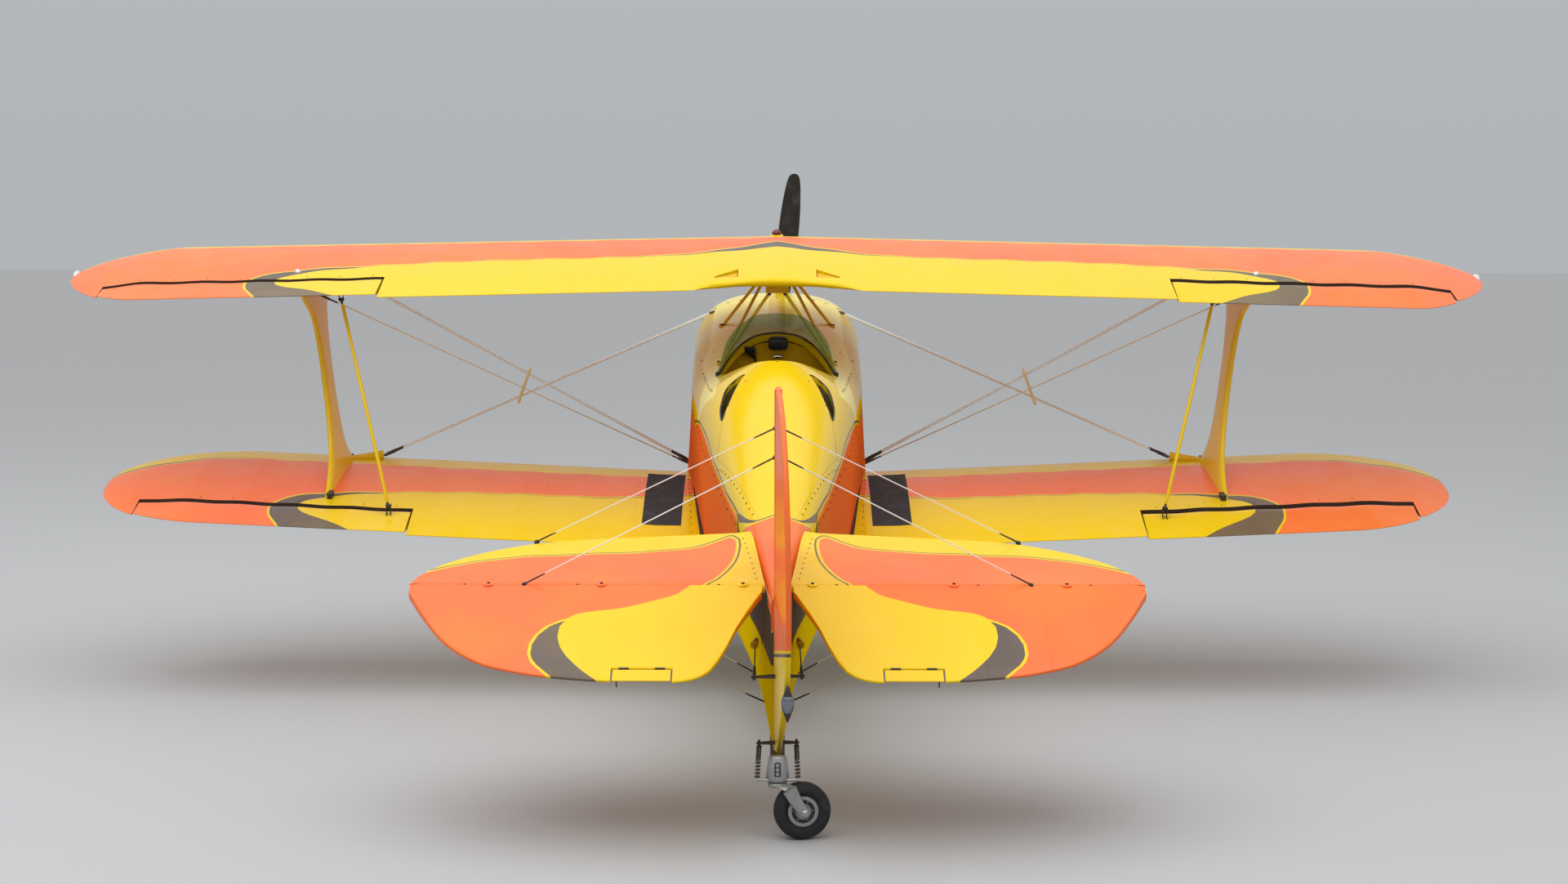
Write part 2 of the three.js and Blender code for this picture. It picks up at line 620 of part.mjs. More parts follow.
function wheelPant(side) {
  const { clear, cut } = pant;
  const { track, y, z, radius } = mainWheel;
  const half = mainWheel.width / 2 + clear;
  const bay = turned([[0, -half], [radius + clear, -half], [radius + clear, half], [0, half]], 36)
    .translate([side * track, y, z]);
  const slot = box(
    [side * track - half, y - radius - clear, z - 400], [side * track + half, y + radius + clear, z]);
  const under = box([-reach, -reach, z - 400], [reach, reach, z + cut]);
  const hole = rod([side * (track - 200), y, z], [side * track, y, z], 24, 16, [0, 0, 1]);
  return pantBody(side, 0).subtract(bay).subtract(slot).subtract(under).subtract(hole);
}

function tyreProfile(radius, rim, width) {
  const half = width / 2;
  return [
    [rim, -half * 0.72], [rim + 8, -half * 0.86], [radius * 0.72, -half], [radius * 0.9, -half * 0.9],
    [radius * 0.975, -half * 0.62], [radius, -half * 0.28], [radius, half * 0.28],
    [radius * 0.975, half * 0.62], [radius * 0.9, half * 0.9], [radius * 0.72, half], [rim + 8, half * 0.86],
    [rim, half * 0.72], [rim, -half * 0.72],
  ];
}

// Hub with a hollow face on each side and a bore for its axle.
function hubProfile(rim, width, bore) {
  const half = width * 0.34;
  return [
    [bore, -half * 0.9], [bore + 14, -half * 0.9], [bore + 18, -half * 0.35], [rim - 14, -half * 0.3],
    [rim - 10, -half], [rim - gap, -half], [rim - gap, half], [rim - 10, half], [rim - 14, half * 0.3],
    [bore + 18, half * 0.35], [bore + 14, half * 0.9], [bore, half * 0.9], [bore, -half * 0.9],
  ];
}

// Blade stations: radius, chord, thickness, pitch from the plane of the disc.
const bladeStations = [
  [40, 62, 46, 64], [170, 82, 30, 58], [300, 98, 19, 42], [450, 104, 13, 31], [600, 92, 9, 24],
  [prop.radius - 65, 70, 6, 20], [prop.radius - 15, 50, 5, 19], [prop.radius, 26, 4, 19],
];

function propeller() {
  const section = ([r, chord, thick, pitch]) => Array.from({ length: 10 }, (_, k) => {
    const angle = 2 * Math.PI * k / 10;
    const [along, out] = [chord / 2 * Math.cos(angle), thick / 2 * Math.sin(angle)];
    const [c, s] = [Math.cos(pitch * radians), Math.sin(pitch * radians)];
    return [along * c - out * s, along * s + out * c, r];
  });
  const bladeShape = loft(bladeStations.map(section));
  const other = bladeShape.rotate([0, 180, 0]);
  const hub = turned([[0, -prop.depth / 2], [prop.hub, -prop.depth / 2], [prop.hub, prop.depth / 2],
    [0, prop.depth / 2]], 24).rotate([0, 0, 90]);
  const shaft = rod([0, -150, 0], [0, -40, 0], 34, 16, [0, 0, 1]);
  return join([bladeShape, other, hub, shaft]);
}

// Spinner shell about the y axis, open at its rear, with a notch for each blade.
function spinnerShell() {
  const { radius, tip, rear, wall } = spinner;
  const long = tip - rear;
  const shares = [0, 0.2, 0.4, 0.6, 0.78, 0.9, 0.97];
  const outer = shares.map((t) => [radius * (1 - t ** 2.1) ** 0.62, rear + t * long]);
  const inner = shares.map((t) => [
    (radius - wall) * (1 - t ** 2.1) ** 0.62, rear + wall + t * (long - wall * 3)]).reverse();
  const plate = prop.hub + 2;
  const profile = [
    [plate, rear], ...outer, [0, tip], [0, tip - wall * 2], ...inner, [plate, rear + wall], [plate, rear],
  ];
  const shell = turned(profile, 28).rotate([0, 0, 90]).translate([0, -thrust.y, 0]);
  const notch = box([-48, -64, 90], [48, 64, 400]);
  return shell.subtract(notch).subtract(notch.rotate([0, 180, 0]));
}

function cowling() {
  const outer = bodySolid(cowlStations, 600, firewall + gap);
  const inner = bodySolid(cowlStations, 575, firewall + gap, -9).add(
    bodySolid([[101, ...cowlStations[4].slice(1)], [60, ...cowlStations[4].slice(1)]], 101, 60, -9));
  const ellipse = (x, z, w, h) => {
    const shape = new THREE.Shape().absellipse(x, z, w, h, 0, 2 * Math.PI);
    const geometry = new THREE.ExtrudeGeometry(shape, { depth: 400, bevelEnabled: false, curveSegments: 10 });
    return solid(geometry.rotateX(Math.PI / 2).translate(0, 900, 0));
  };
  let shape = outer.subtract(inner).subtract(ellipse(0, thrust.z, 60, 60));
  for (const side of [1, -1]) shape = shape.subtract(ellipse(side * 142, thrust.z + 10, 56, 62));
  const outlet = box([-120, 110, -1000], [120, 190, -880]);
  return shape.subtract(outlet);
}

// Assembly.
const fuselage = fuselageParts();
put('fuselage', fuselage.tub, 'orange');
put('forward_deck', fuselage.deck, 'yellow');
put('turtledeck', fuselage.hump, 'yellow');
put('cowling', cowling(), 'yellow');
const { width: engineWidth, height: engineHeight } = engine;
put('engine_block', box(
  [-engineWidth / 2, engine.rear, engine.z - engineHeight / 2],
  [engineWidth / 2, engine.front, engine.z + engineHeight / 2]), 'engine');
put('windscreen', windscreen(), 'tint');

const panelPlate = bodySolid(fuselageStations, panel, panel - 12, -skin - 2)
  .intersect(box([-reach, -reach, -700], [reach, reach, reach]));
put('instrument_panel', panelPlate, 'yellow');
const seat = box([-190, -1180, -880], [190, -800, -850]).add(blade([
  [[0, -1160, -870], 360, 36], [[0, -1290, -420], 300, 36],
], [1, 0, 0], 8));
put('seat', seat, 'leather');
put('control_stick', rod([0, -700, -894], [0, -745, -560], 11, 8).add(
  rod([0, -741, -590], [0, -758, -480], 17, 8)), 'black');

put('upper_wing', upperWing(), 'orange');
for (const [word, side] of [['right', 1], ['left', -1]]) {
  const root = wingSolid(lower, side, 200).subtract(bodySolid(fuselageStations, firewall, -2000, gap));
  const wing = withoutAilerons(root, lower, aileron.lowerIn, aileron.lowerOut, side);
  put(`lower_wing_${word}`, wing.subtract(box([-220, -reach, -reach], [220, reach, reach])), 'orange');

  const levels = [
    [`aileron_upper_${word}`, upper, aileron.upperIn, aileron.upperOut, slaveTop(side), 1],
    [`aileron_lower_${word}`, lower, aileron.lowerIn, aileron.lowerOut, slaveFoot(side), -1],
  ];
  for (const [name, wingData, xIn, xOut, lug, rise] of levels) {
    const source = wingSolid(wingData, side, 300);
    const inner = hingeAt(wingData, xIn, side);
    const axis = hingeAt(wingData, xOut, side).map((v, i) => side * (v - inner[i]));
    const group = hingeGroup(inner, axis, side * aileron.rest);
    const surface = source.intersect(behindHinge(wingData, side, xIn, xOut, -aileron.nose));
    const [x, y, z] = lug;
    const fork = box([x - 9, y - 12, Math.min(z, z + rise * 60)], [x + 9, y + 12, Math.max(z, z + rise * 60)])
      .subtract(box([x - 20, y - 16, z - 14], [x + 20, y + 16, z + 14]));
    put(name, local(surface.add(fork), inner), 'orange', group);
  }

  put(`interplane_strut_${word}`, interplaneStrut(side), 'yellow');
  const [foot, top] = [slaveFoot(side), slaveTop(side)];
  put(`slave_strut_${word}`, rod(foot, top, slave.radius, 10), 'yellow');

  const mirror = ([x, y, z]) => [side * x, y, z];
  const strutTop = (share, z) => [
    side * wire.topX, -strut.upperX * Math.tan(upper.sweep * radians) - share * upper.chord, z,
  ];
  const wireRoot = mirror(wire.root);
  put(`flying_wires_${word}`, twinWire(wireRoot, strutTop(strut.front, wire.frontTop), wire.twin), 'steel');
  const rearTop = strutTop(strut.rear, wire.rearTop);
  put(`flying_wire_rear_${word}`, rod(
    [wireRoot[0], wireRoot[1] - 44, wireRoot[2]], rearTop, wire.radius, 6), 'steel');
  const [landX, landY, landZ] = wire.landing;
  const lug = sideBox(side, [landX - 6, landY - 22, landZ - 60], [landX + 6, landY + 22, landZ + 4]);
  put(`landing_wires_${word}`, twinWire(mirror(wire.foot), mirror(wire.landing), wire.twin).add(lug)
    .subtract(bodySolid(fuselageStations, firewall, -600, gap)), 'steel');
}
put('cabane_struts', cabaneStruts(), 'yellow');

// Tail.
const elevatorGroup = hingeGroup([0, tail.hinge, tail.z], [1, 0, 0], tail.droop);
put('fin', fin(), 'orange');
const rudderGroup = hingeGroup([0, rudder.hinge, 0], [0, 0, 1], rudder.rest);
put('rudder', local(rudderShape(), [0, rudder.hinge, 0]), 'orange', rudderGroup);
for (const [word, side] of [['right', 1], ['left', -1]]) {
  put(`stabiliser_${word}`, stabiliser(side), 'yellow');
  const half = elevator(side);
  const torque = rod([-46 + gap, 0, 0], [47, 0, 0], tail.tube, 12, [0, 0, 1]);
  put(`elevator_${word}`, side === 1 ? half.add(torque) : half, 'yellow', elevatorGroup);
  const tabHinge = [0, tab.front - tab.gap, 0];
  const tabGroup = hingeGroup(tabHinge, [1, 0, 0], 0, elevatorGroup);
  put(`trim_tab_${word}`, local(trimTab(side), tabHinge), 'yellow', tabGroup);
}

// Nose pieces turn about the thrust line.
const nose = new THREE.Group();
nose.position.set(0, thrust.y, thrust.z);
nose.rotation.y = prop.lean * radians;
airframe.add(nose);
put('propeller', propeller(), 'black', nose);
put('spinner', spinnerShell(), 'yellow', nose);

// Main gear.
put('gear_truss', gearTruss(), 'steel');
for (const [word, side] of [['right', 1], ['left', -1]]) {
  put(`gear_leg_${word}`, gearLeg(side), 'yellow');
  put(`wheel_pant_${word}`, wheelPant(side), 'yellow');
  const wheel = new THREE.Group();
  wheel.position.set(side * mainWheel.track, mainWheel.y, mainWheel.z);
  airframe.add(wheel);
  const { radius, rim, width } = mainWheel;
  put(`main_tyre_${word}`, turned(tyreProfile(radius, rim, width), 40), 'rubber', wheel);
  put(`main_hub_${word}`, turned(hubProfile(rim, width, 20), 32), 'casting', wheel);
  put(`exhaust_${word}`, rod([side * 170, 60, -968], [side * 170, 260, -900], 26, 12)
    .subtract(bodySolid(fuselageStations, firewall, -400, gap))
    .subtract(bodySolid(cowlStations, 600, firewall, gap)), 'steel');
}

// The angle at which all three tyres touch a level floor.
const rise = mainWheel.z - tailWheel.z;
const base = mainWheel.y - tailWheel.y;
const drop = mainWheel.radius - tailWheel.radius;
const attitude = Math.asin(drop / Math.hypot(rise, base)) - Math.atan2(rise, base);

// Tailwheel: the swivel's axis is upright on the floor.
const crownZ = 70;
const bracket = blade([[[0, 10, crownZ + 14], 74, 56], [[0, 12, crownZ + 84], 70, 44]], [0, 1, 0], 12)
  .add(box([-61, -8, crownZ + 14], [61, 8, crownZ + 24]));
const onAirframe = (shape) => shape.rotate([-attitude / radians, 0, 0])
  .translate([0, tailWheel.y, tailWheel.z]);
put('tail_spring', blade([
  [[0, -2960, -905], 16, 44], [[0, -3300, -893], 18, 44], [[0, -3600, -832], 14, 42],
], [0, 0, 1], 8).subtract(bodySolid(fuselageStations, -2600, -3310, gap)).subtract(join([
  [0, gap, 0], [0, 0, gap], [0, 0, -gap]].map((d) => onAirframe(bracket).translate(d)))), 'steel');
const uprightGroup = hingeGroup([0, tailWheel.y, tailWheel.z], [1, 0, 0], -attitude / radians);
put('tailwheel_bracket', bracket, 'casting', uprightGroup);
const swivel = new THREE.Group();
swivel.rotation.z = tailWheel.swivel * radians;
uprightGroup.add(swivel);
const { trail, width: tailTyreWidth } = tailWheel;
const armX = -tailTyreWidth / 2 - 14;
const fork = join([
  turned([[0, crownZ], [28, crownZ], [28, crownZ + 12], [0, crownZ + 12]], 20).rotate([0, -90, 0]),
  blade([[[-12, -6, crownZ + 6], 46, 12], [[armX, -30, crownZ + 2], 44, 14]], [0, 1, 0], 8),
  blade([[[armX, -28, crownZ - 6], 44, 16], [[armX, -trail, -4], 36, 14]], [0, 1, 0], 8),
  rod([armX - 8, -trail, 0], [tailTyreWidth / 2, -trail, 0], 9, 12, [0, 0, 1]),
]);
put('tailwheel_fork', fork, 'casting', swivel);
const tailSpin = new THREE.Group();
tailSpin.position.set(0, -trail, 0);
swivel.add(tailSpin);
const tailTyre = tyreProfile(tailWheel.radius, tailWheel.rim, tailTyreWidth);
put('tailwheel_tyre', turned(tailTyre, 32), 'rubber', tailSpin);
put('tailwheel_hub', turned(hubProfile(tailWheel.rim, tailTyreWidth, 10), 24), 'casting', tailSpin);

// Stand it on the floor, over the origin.
const parked = new THREE.Group();
airframe.rotation.x = attitude;
parked.add(airframe);
parked.updateMatrixWorld(true);
const bounds = new THREE.Box3().setFromObject(airframe, true);
airframe.position.set(0, -(bounds.min.y + bounds.max.y) / 2, -bounds.min.z);

export default parked;
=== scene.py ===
# Single-seat aerobatic biplane, parked tail down on a pale floor and seen from behind.
# Shapes are in millimetres in the level frame: x starboard, y forward, z up, origin at the centre of the
# upper wing's leading edge. levelFrame tips them tail down and stands them where the frame's nodes are.
import bpy
import bmesh
import json
import math
import numpy as np
from mathutils import Matrix, Vector


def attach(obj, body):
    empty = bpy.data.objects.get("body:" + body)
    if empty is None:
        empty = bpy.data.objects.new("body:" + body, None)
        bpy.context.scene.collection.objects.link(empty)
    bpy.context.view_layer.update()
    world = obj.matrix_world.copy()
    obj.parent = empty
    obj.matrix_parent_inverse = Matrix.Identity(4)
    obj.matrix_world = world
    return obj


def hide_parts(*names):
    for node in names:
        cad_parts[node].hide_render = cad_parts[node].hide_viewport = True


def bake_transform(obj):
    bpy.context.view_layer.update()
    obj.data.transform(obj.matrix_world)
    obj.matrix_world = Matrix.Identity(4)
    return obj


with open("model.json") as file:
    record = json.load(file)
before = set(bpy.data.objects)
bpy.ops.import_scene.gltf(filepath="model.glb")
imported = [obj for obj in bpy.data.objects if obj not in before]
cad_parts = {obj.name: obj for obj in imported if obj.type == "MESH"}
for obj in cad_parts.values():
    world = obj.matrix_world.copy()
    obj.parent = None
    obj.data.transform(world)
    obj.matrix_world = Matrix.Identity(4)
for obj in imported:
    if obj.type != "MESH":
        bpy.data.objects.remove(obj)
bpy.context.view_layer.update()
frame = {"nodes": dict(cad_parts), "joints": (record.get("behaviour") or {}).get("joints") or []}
joints = {joint["name"]: joint for joint in frame["joints"]}
scene = bpy.context.scene

thrustLine = dict(y=700, z=-600)           # the propeller's centre
noseAxis = joints["propeller_spin"]["axis"]
attitude = math.atan2(noseAxis[2], noseAxis[1])
tipped = Matrix.Rotation(attitude, 4, "X") @ Matrix.Scale(0.001, 4)
noseAt = tipped @ Vector((0, thrustLine["y"], thrustLine["z"]))
levelFrame = Matrix.Translation(Vector(joints["propeller_spin"]["pos_m"]) - noseAt) @ tipped
print("frame loaded, tail down by", round(math.degrees(attitude), 2), "degrees")


# Camera: behind the tail and above the upper wing, looking forward and down

cameraView = dict(
    at=(-15, -10510, 1951), yaw=0.248, pitch=14.807, roll=0.188,
    focal=3239, pixels=1920, film=36, clipEnd=200,
)


def addCamera(view):
    yaw, pitch, roll = (math.radians(view[name]) for name in ("yaw", "pitch", "roll"))
    look = Vector((math.sin(yaw) * math.cos(pitch), math.cos(yaw) * math.cos(pitch), -math.sin(pitch)))
    across = Vector((math.cos(yaw), -math.sin(yaw), 0))
    over = across.cross(look)
    right = across * math.cos(roll) + over * math.sin(roll)
    up = over * math.cos(roll) - across * math.sin(roll)
    turned = Matrix((right, up, -look)).transposed()
    data = bpy.data.cameras.new("camera")
    data.sensor_fit = "HORIZONTAL"
    data.sensor_width = view["film"]
    data.lens = view["focal"] / view["pixels"] * view["film"]
    data.clip_end = view["clipEnd"]
    camera = bpy.data.objects.new("camera", data)
    place = levelFrame @ Vector(view["at"])
    camera.matrix_world = Matrix.Translation(place) @ Matrix.Rotation(attitude, 4, "X") @ turned.to_4x4()
    scene.collection.objects.link(camera)
    scene.camera = camera


addCamera(cameraView)


# Materials

finish = dict(
    yellow=(0.78, 0.53, 0.002), orange=(0.86, 0.15, 0.035), grey=(0.11, 0.083, 0.07),
    # the cream colour is painted sky reflection, mixed into the yellow by its share
    skyGlare=(0.98, 0.88, 0.24), stripe=9, edge=0.7, fade=4, glareShare=0.75,
)


def newMaterial(name):
    material = bpy.data.materials.new(name)
    material.use_nodes = True
    shader = material.node_tree.nodes["Principled BSDF"]
    return material, material.node_tree, shader


def addNode(tree, kind, **settings):
    node = tree.nodes.new(kind)
    for name, value in settings.items():
        setattr(node, name, value)
    return node


def mathNode(tree, operation, first, second=None):
    node = addNode(tree, "ShaderNodeMath", operation=operation)
    for socket, value in zip(node.inputs, (first, second)):
        if isinstance(value, (int, float)):
            socket.default_value = value
        elif value is not None:
            tree.links.new(value, socket)
    return node.outputs[0]


def step(tree, value, low, high, start=0.0, end=1.0):
    node = addNode(tree, "ShaderNodeMapRange", interpolation_type="SMOOTHSTEP")
    tree.links.new(value, node.inputs["Value"])
    for name, number in (("From Min", low), ("From Max", high), ("To Min", start), ("To Max", end)):
        node.inputs[name].default_value = number
    return node.outputs["Result"]


def noise(tree, scale, detail=3.0, vector=None):
    node = addNode(tree, "ShaderNodeTexNoise")
    node.inputs["Scale"].default_value = scale
    node.inputs["Detail"].default_value = detail
    if vector is None:
        vector = addNode(tree, "ShaderNodeTexCoord").outputs["Object"]
    tree.links.new(vector, node.inputs["Vector"])
    return node.outputs["Fac"]


def mixColour(tree, amount, first, second):
    node = addNode(tree, "ShaderNodeMix", data_type="RGBA")
    tree.links.new(amount, node.inputs[0])
    for socket, value in ((node.inputs[6], first), (node.inputs[7], second)):
        if isinstance(value, tuple):
            socket.default_value = (*value, 1)
        else:
            tree.links.new(value, socket)
    return node.outputs[2]


def field(tree, name):
    return addNode(tree, "ShaderNodeAttribute", attribute_name=name).outputs["Fac"]


def bump(tree, shader, height, strength, distance):
    node = addNode(tree, "ShaderNodeBump")
    node.inputs["Strength"].default_value = strength
    node.inputs["Distance"].default_value = distance
    tree.links.new(height, node.inputs["Height"])
    tree.links.new(node.outputs["Normal"], shader.inputs["Normal"])


def roughen(tree, shader, pattern, low, high, rough, spread):
    tree.links.new(step(tree, pattern, low, high, rough, rough + spread), shader.inputs["Roughness"])


# Gloss paint. A scheme reads how far each point lies inside the yellow and the grey outlines, in millimetres.
# On the fuselage the grey also paints the shade below the stabiliser, and a glare outline paints sky
# reflection as cream on the yellow.
def paint(name, base, scheme=False, weave=0.0, rough=0.24, gloss=0.14):
    material, tree, shader = newMaterial(name)
    colour = base
    if scheme:
        grey, yellow, glare = field(tree, "greyField"), field(tree, "yellowField"), field(tree, "glareField")
        edge, stripe, fade = finish["edge"], finish["stripe"], finish["fade"]
        onStripe = step(tree, grey, -stripe - edge, -stripe + edge)
        colour = mixColour(tree, onStripe, finish["orange"], finish["yellow"])
        colour = mixColour(tree, step(tree, grey, -edge, edge), colour, finish["grey"])
        # Painted sky reflection: inside the glare outline the yellow turns toward cream.
        onGlare = step(tree, glare, -fade, fade, 0.0, finish["glareShare"])
        top = mixColour(tree, onGlare, finish["yellow"], finish["skyGlare"])
        colour = mixColour(tree, step(tree, yellow, -edge, edge), colour, top)
    patches = step(tree, noise(tree, 2.2, 4), 0.35, 0.7, 0.0, 0.12)
    tone = mixColour(tree, patches, colour, tuple(0.8 * part for part in base))
    tree.links.new(tone, shader.inputs["Base Color"])
    roughen(tree, shader, noise(tree, 9, 5), 0.3, 0.75, rough, 0.1)
    shader.inputs["Coat Weight"].default_value = gloss * 0.3
    shader.inputs["Coat Roughness"].default_value = 0.05
    shader.inputs["Specular IOR Level"].default_value = gloss
    if weave:
        tape = step(tree, field(tree, "ribField"), 15, 24, 1.0, 0.0)
        cloth = mathNode(tree, "MULTIPLY", noise(tree, 420, 2), 0.05)
        bump(tree, shader, mathNode(tree, "ADD", tape, cloth), weave, 0.0016)
    else:
        bump(tree, shader, noise(tree, 60, 3), 0.04, 0.002)
    return material


# Bare or coated metal with fine scratches and handled patches.
def metal(name, colour, rough, metallic=1.0, grain=160, dirt=0.25):
    material, tree, shader = newMaterial(name)
    worn = step(tree, noise(tree, 24, 6), 0.4, 0.72, 0.0, dirt)
    tone = mixColour(tree, worn, colour, tuple(0.35 * part for part in colour))
    tree.links.new(tone, shader.inputs["Base Color"])
    roughen(tree, shader, noise(tree, grain, 4), 0.3, 0.7, rough, 0.18)
    shader.inputs["Metallic"].default_value = metallic
    bump(tree, shader, noise(tree, grain * 2, 3), 0.12, 0.0006)
    return material


def matt(name, colour, rough=0.7, grain=220, depth=0.25, dust=(0.2, 0.19, 0.17)):
    material, tree, shader = newMaterial(name)
    dusty = step(tree, noise(tree, 14, 6), 0.5, 0.85, 0.0, 0.35)
    tree.links.new(mixColour(tree, dusty, colour, dust), shader.inputs["Base Color"])
    roughen(tree, shader, noise(tree, 40, 3), 0.3, 0.7, rough, 0.15)
    bump(tree, shader, noise(tree, grain, 5), depth, 0.001)
    return material


def tintedSheet(name, colour):
    material, tree, shader = newMaterial(name)
    tone = mixColour(tree, step(tree, noise(tree, 6, 3), 0.3, 0.8, 0.0, 0.2), colour, (0.5, 0.75, 0.5))
    tree.links.new(tone, shader.inputs["Base Color"])
    shader.inputs["Alpha"].default_value = 0.42
    shader.inputs["Roughness"].default_value = 0.04
    shader.inputs["Coat Weight"].default_value = 1.0
    shader.inputs["Coat Roughness"].default_value = 0.02
    bump(tree, shader, noise(tree, 5, 2), 0.02, 0.01)
    return material


yellowPaint = paint("yellowPaint", finish["yellow"])
orangePaint = paint("orangePaint", finish["orange"])
schemePaint = paint("schemePaint", finish["yellow"], scheme=True, rough=0.16, gloss=0.16)
schemeFlat = paint("schemeFlat", finish["yellow"], scheme=True, rough=0.5, gloss=0.0)
schemeCloth = paint("schemeCloth", finish["yellow"], scheme=True, weave=0.5)
stainless = metal("stainless", (0.72, 0.73, 0.74), 0.3, metallic=0.7, dirt=0.1)
# The blue tint on the wires is painted sky reflection, set against the orange light they mirror from the
# wings.
skyTintWire = metal("skyTintWire", (0.82, 0.93, 1.0), 0.3, metallic=0.6, dirt=0.02)
# A darker copy of the yellow paint: painted shade on yellow parts that sit in shade, such as the instrument
# panel and the plates in the hand holds.
shadedYellow = paint("shadedYellow", (0.70, 0.40, 0.008), gloss=0.15)
# A lighter copy of the yellow paint: painted light on the struts, set against the shade the upper wing casts
# on them.
litStrutYellow = paint("litStrutYellow", (0.86, 0.60, 0.01), rough=0.3, gloss=0.3)
darkSteel = metal("darkSteel", (0.06, 0.05, 0.045), 0.42, metallic=0.6)
chrome = metal("chrome", (0.85, 0.86, 0.87), 0.06, grain=60, dirt=0.08)
smokedChrome = metal("smokedChrome", (0.22, 0.24, 0.27), 0.08, grain=60, dirt=0.2)
casting = metal("casting", (0.36, 0.37, 0.36), 0.38, grain=90)
engineMetal = metal("engineMetal", (0.25, 0.25, 0.26), 0.5)
propellerBlack = matt("propellerBlack", (0.012, 0.012, 0.014), 0.45, 90, 0.1)
tyreRubber = matt("tyreRubber", (0.012, 0.012, 0.012), 0.75, 300, 0.3)
blackRubber = matt("blackRubber", (0.01, 0.01, 0.011), 0.35, 180, 0.1, (0.06, 0.07, 0.09))
# Dark brown for the seals in the wing root gaps, and painted shade on the faces in the aileron gaps.
sealAndGapShade = matt("sealAndGapShade", (0.045, 0.022, 0.012), 0.6, 120, 0.1, (0.10, 0.06, 0.04))
grit = matt("grit", (0.025, 0.026, 0.03), 0.8, 900, 0.9, (0.09, 0.10, 0.13))
webbing = matt("webbing", (0.03, 0.03, 0.035), 0.8, 700, 0.6)
redLens = matt("redLens", (0.12, 0.006, 0.008), 0.15, 40, 0.02, (0.14, 0.01, 0.012))
leather = matt("leather", (0.02, 0.017, 0.014), 0.5, 260, 0.35)
greenTint = tintedSheet("greenTint", (0.10, 0.42, 0.14))
print("materials made")


# Mesh helpers

def smoothLine(points, steps=6, closed=False):
    points = [np.array(p, float) for p in points]
    count = len(points)
    out = []
    for i in range(count if closed else count - 1):
        if closed:
            a, b, c, d = (points[(i + k) % count] for k in (-1, 0, 1, 2))
        else:
            a, b, c, d = (points[min(max(i + k, 0), count - 1)] for k in (-1, 0, 1, 2))
        for k in range(steps):
            t = k / steps
            out.append(0.5 * (2 * b + (c - a) * t + (2 * a - 5 * b + 4 * c - d) * t ** 2
                              + (3 * b - a - 3 * c + d) * t ** 3))
    if not closed:
        out.append(points[-1])
    return np.array(out)


# How far points lie inside a closed outline, negative outside.
def insideField(points, outline):
    points = np.asarray(points, float)[:, :2]
    outline = np.asarray(outline, float)
    best = np.full(len(points), 1e12)
    inside = np.zeros(len(points), bool)
    for a, b in zip(outline, np.roll(outline, -1, 0)):
        run = b - a
        share = np.clip(((points - a) @ run) / max(run @ run, 1e-9), 0, 1)
        best = np.minimum(best, ((points - a - share[:, None] * run) ** 2).sum(1))
        crosses = (a[1] > points[:, 1]) != (b[1] > points[:, 1])
        if a[1] != b[1]:
            at = a[0] + (points[:, 1] - a[1]) / (b[1] - a[1]) * (b[0] - a[0])
            inside ^= crosses & (points[:, 0] < at)
    return np.where(inside, 1, -1) * np.sqrt(best)


def loftFaces(ringCount, size, capped=True):
    faces = []
    for i in range(ringCount - 1):
        for k in range(size):
            a, b = i * size + k, i * size + (k + 1) % size
            faces.append((a, b, b + size, a + size))
    if capped:
        faces.append(tuple(reversed(range(size))))
        faces.append(tuple(range((ringCount - 1) * size, ringCount * size)))
    return faces


# The points and faces of a surface through rings of the same length.
def lofted(rings):
    return [p for ring in rings for p in ring], loftFaces(len(rings), len(rings[0]))


def turnedAbout(centre, degrees, axis):
    turn = Matrix.Rotation(math.radians(degrees), 4, axis)
    return Matrix.Translation(centre) @ turn @ Matrix.Translation(-centre)


def addObject(name, data):
    piece = bpy.data.objects.new(name, data)
    scene.collection.objects.link(piece)
    return piece


def evaluatedMesh(piece):
    return bpy.data.meshes.new_from_object(piece.evaluated_get(bpy.context.evaluated_depsgraph_get()))


# Joins doubled points and turns the faces outwards. Edges below the shortest length are dissolved.
def cleanMesh(mesh, shortest=0.0):
    work = bmesh.new()
    work.from_mesh(mesh)
    bmesh.ops.remove_doubles(work, verts=work.verts, dist=0.02)
    if shortest:
        bmesh.ops.dissolve_degenerate(work, dist=shortest, edges=work.edges)
    bmesh.ops.recalc_face_normals(work, faces=work.faces)
    work.to_mesh(mesh)
    work.free()


# A raw mesh object in millimetres, for cutting and for what is dressed later.
def rawPiece(name, points, faces, shortest=0.0):
    mesh = bpy.data.meshes.new(name)
    mesh.from_pydata([tuple(map(float, p)) for p in points], [], faces)
    cleanMesh(mesh, shortest)
    return addObject(name, mesh)


# A mesh object from level-frame points. Fields are read before the piece is turned by pose.
def addPiece(name, points, faces, materials, fields=None, pose=None, sharp=38, place=levelFrame, other=None):
    return dress(rawPiece(name, points, faces, 0.005), materials, fields, pose, sharp, place, other)


# Where other(centre) is true, a face has the second material.
def dress(piece, materials, fields=None, pose=None, sharp=38, place=levelFrame, other=None):
    mesh = piece.data
    if other:
        for face in mesh.polygons:
            face.material_index = int(other(face.center))
    at = np.zeros(len(mesh.vertices) * 3)
    mesh.vertices.foreach_get("co", at)
    for fieldName, measure in (fields or {}).items():
        layer = mesh.attributes.new(fieldName, "FLOAT", "POINT")
        layer.data.foreach_set("value", np.asarray(measure(at.reshape(-1, 3)), np.float32))
    mesh.transform(place @ pose if pose else place)
    for material in materials if isinstance(materials, (list, tuple)) else [materials]:
        mesh.materials.append(material)
    mesh.shade_smooth()
    mesh.set_sharp_from_angle(angle=math.radians(sharp))
    return piece


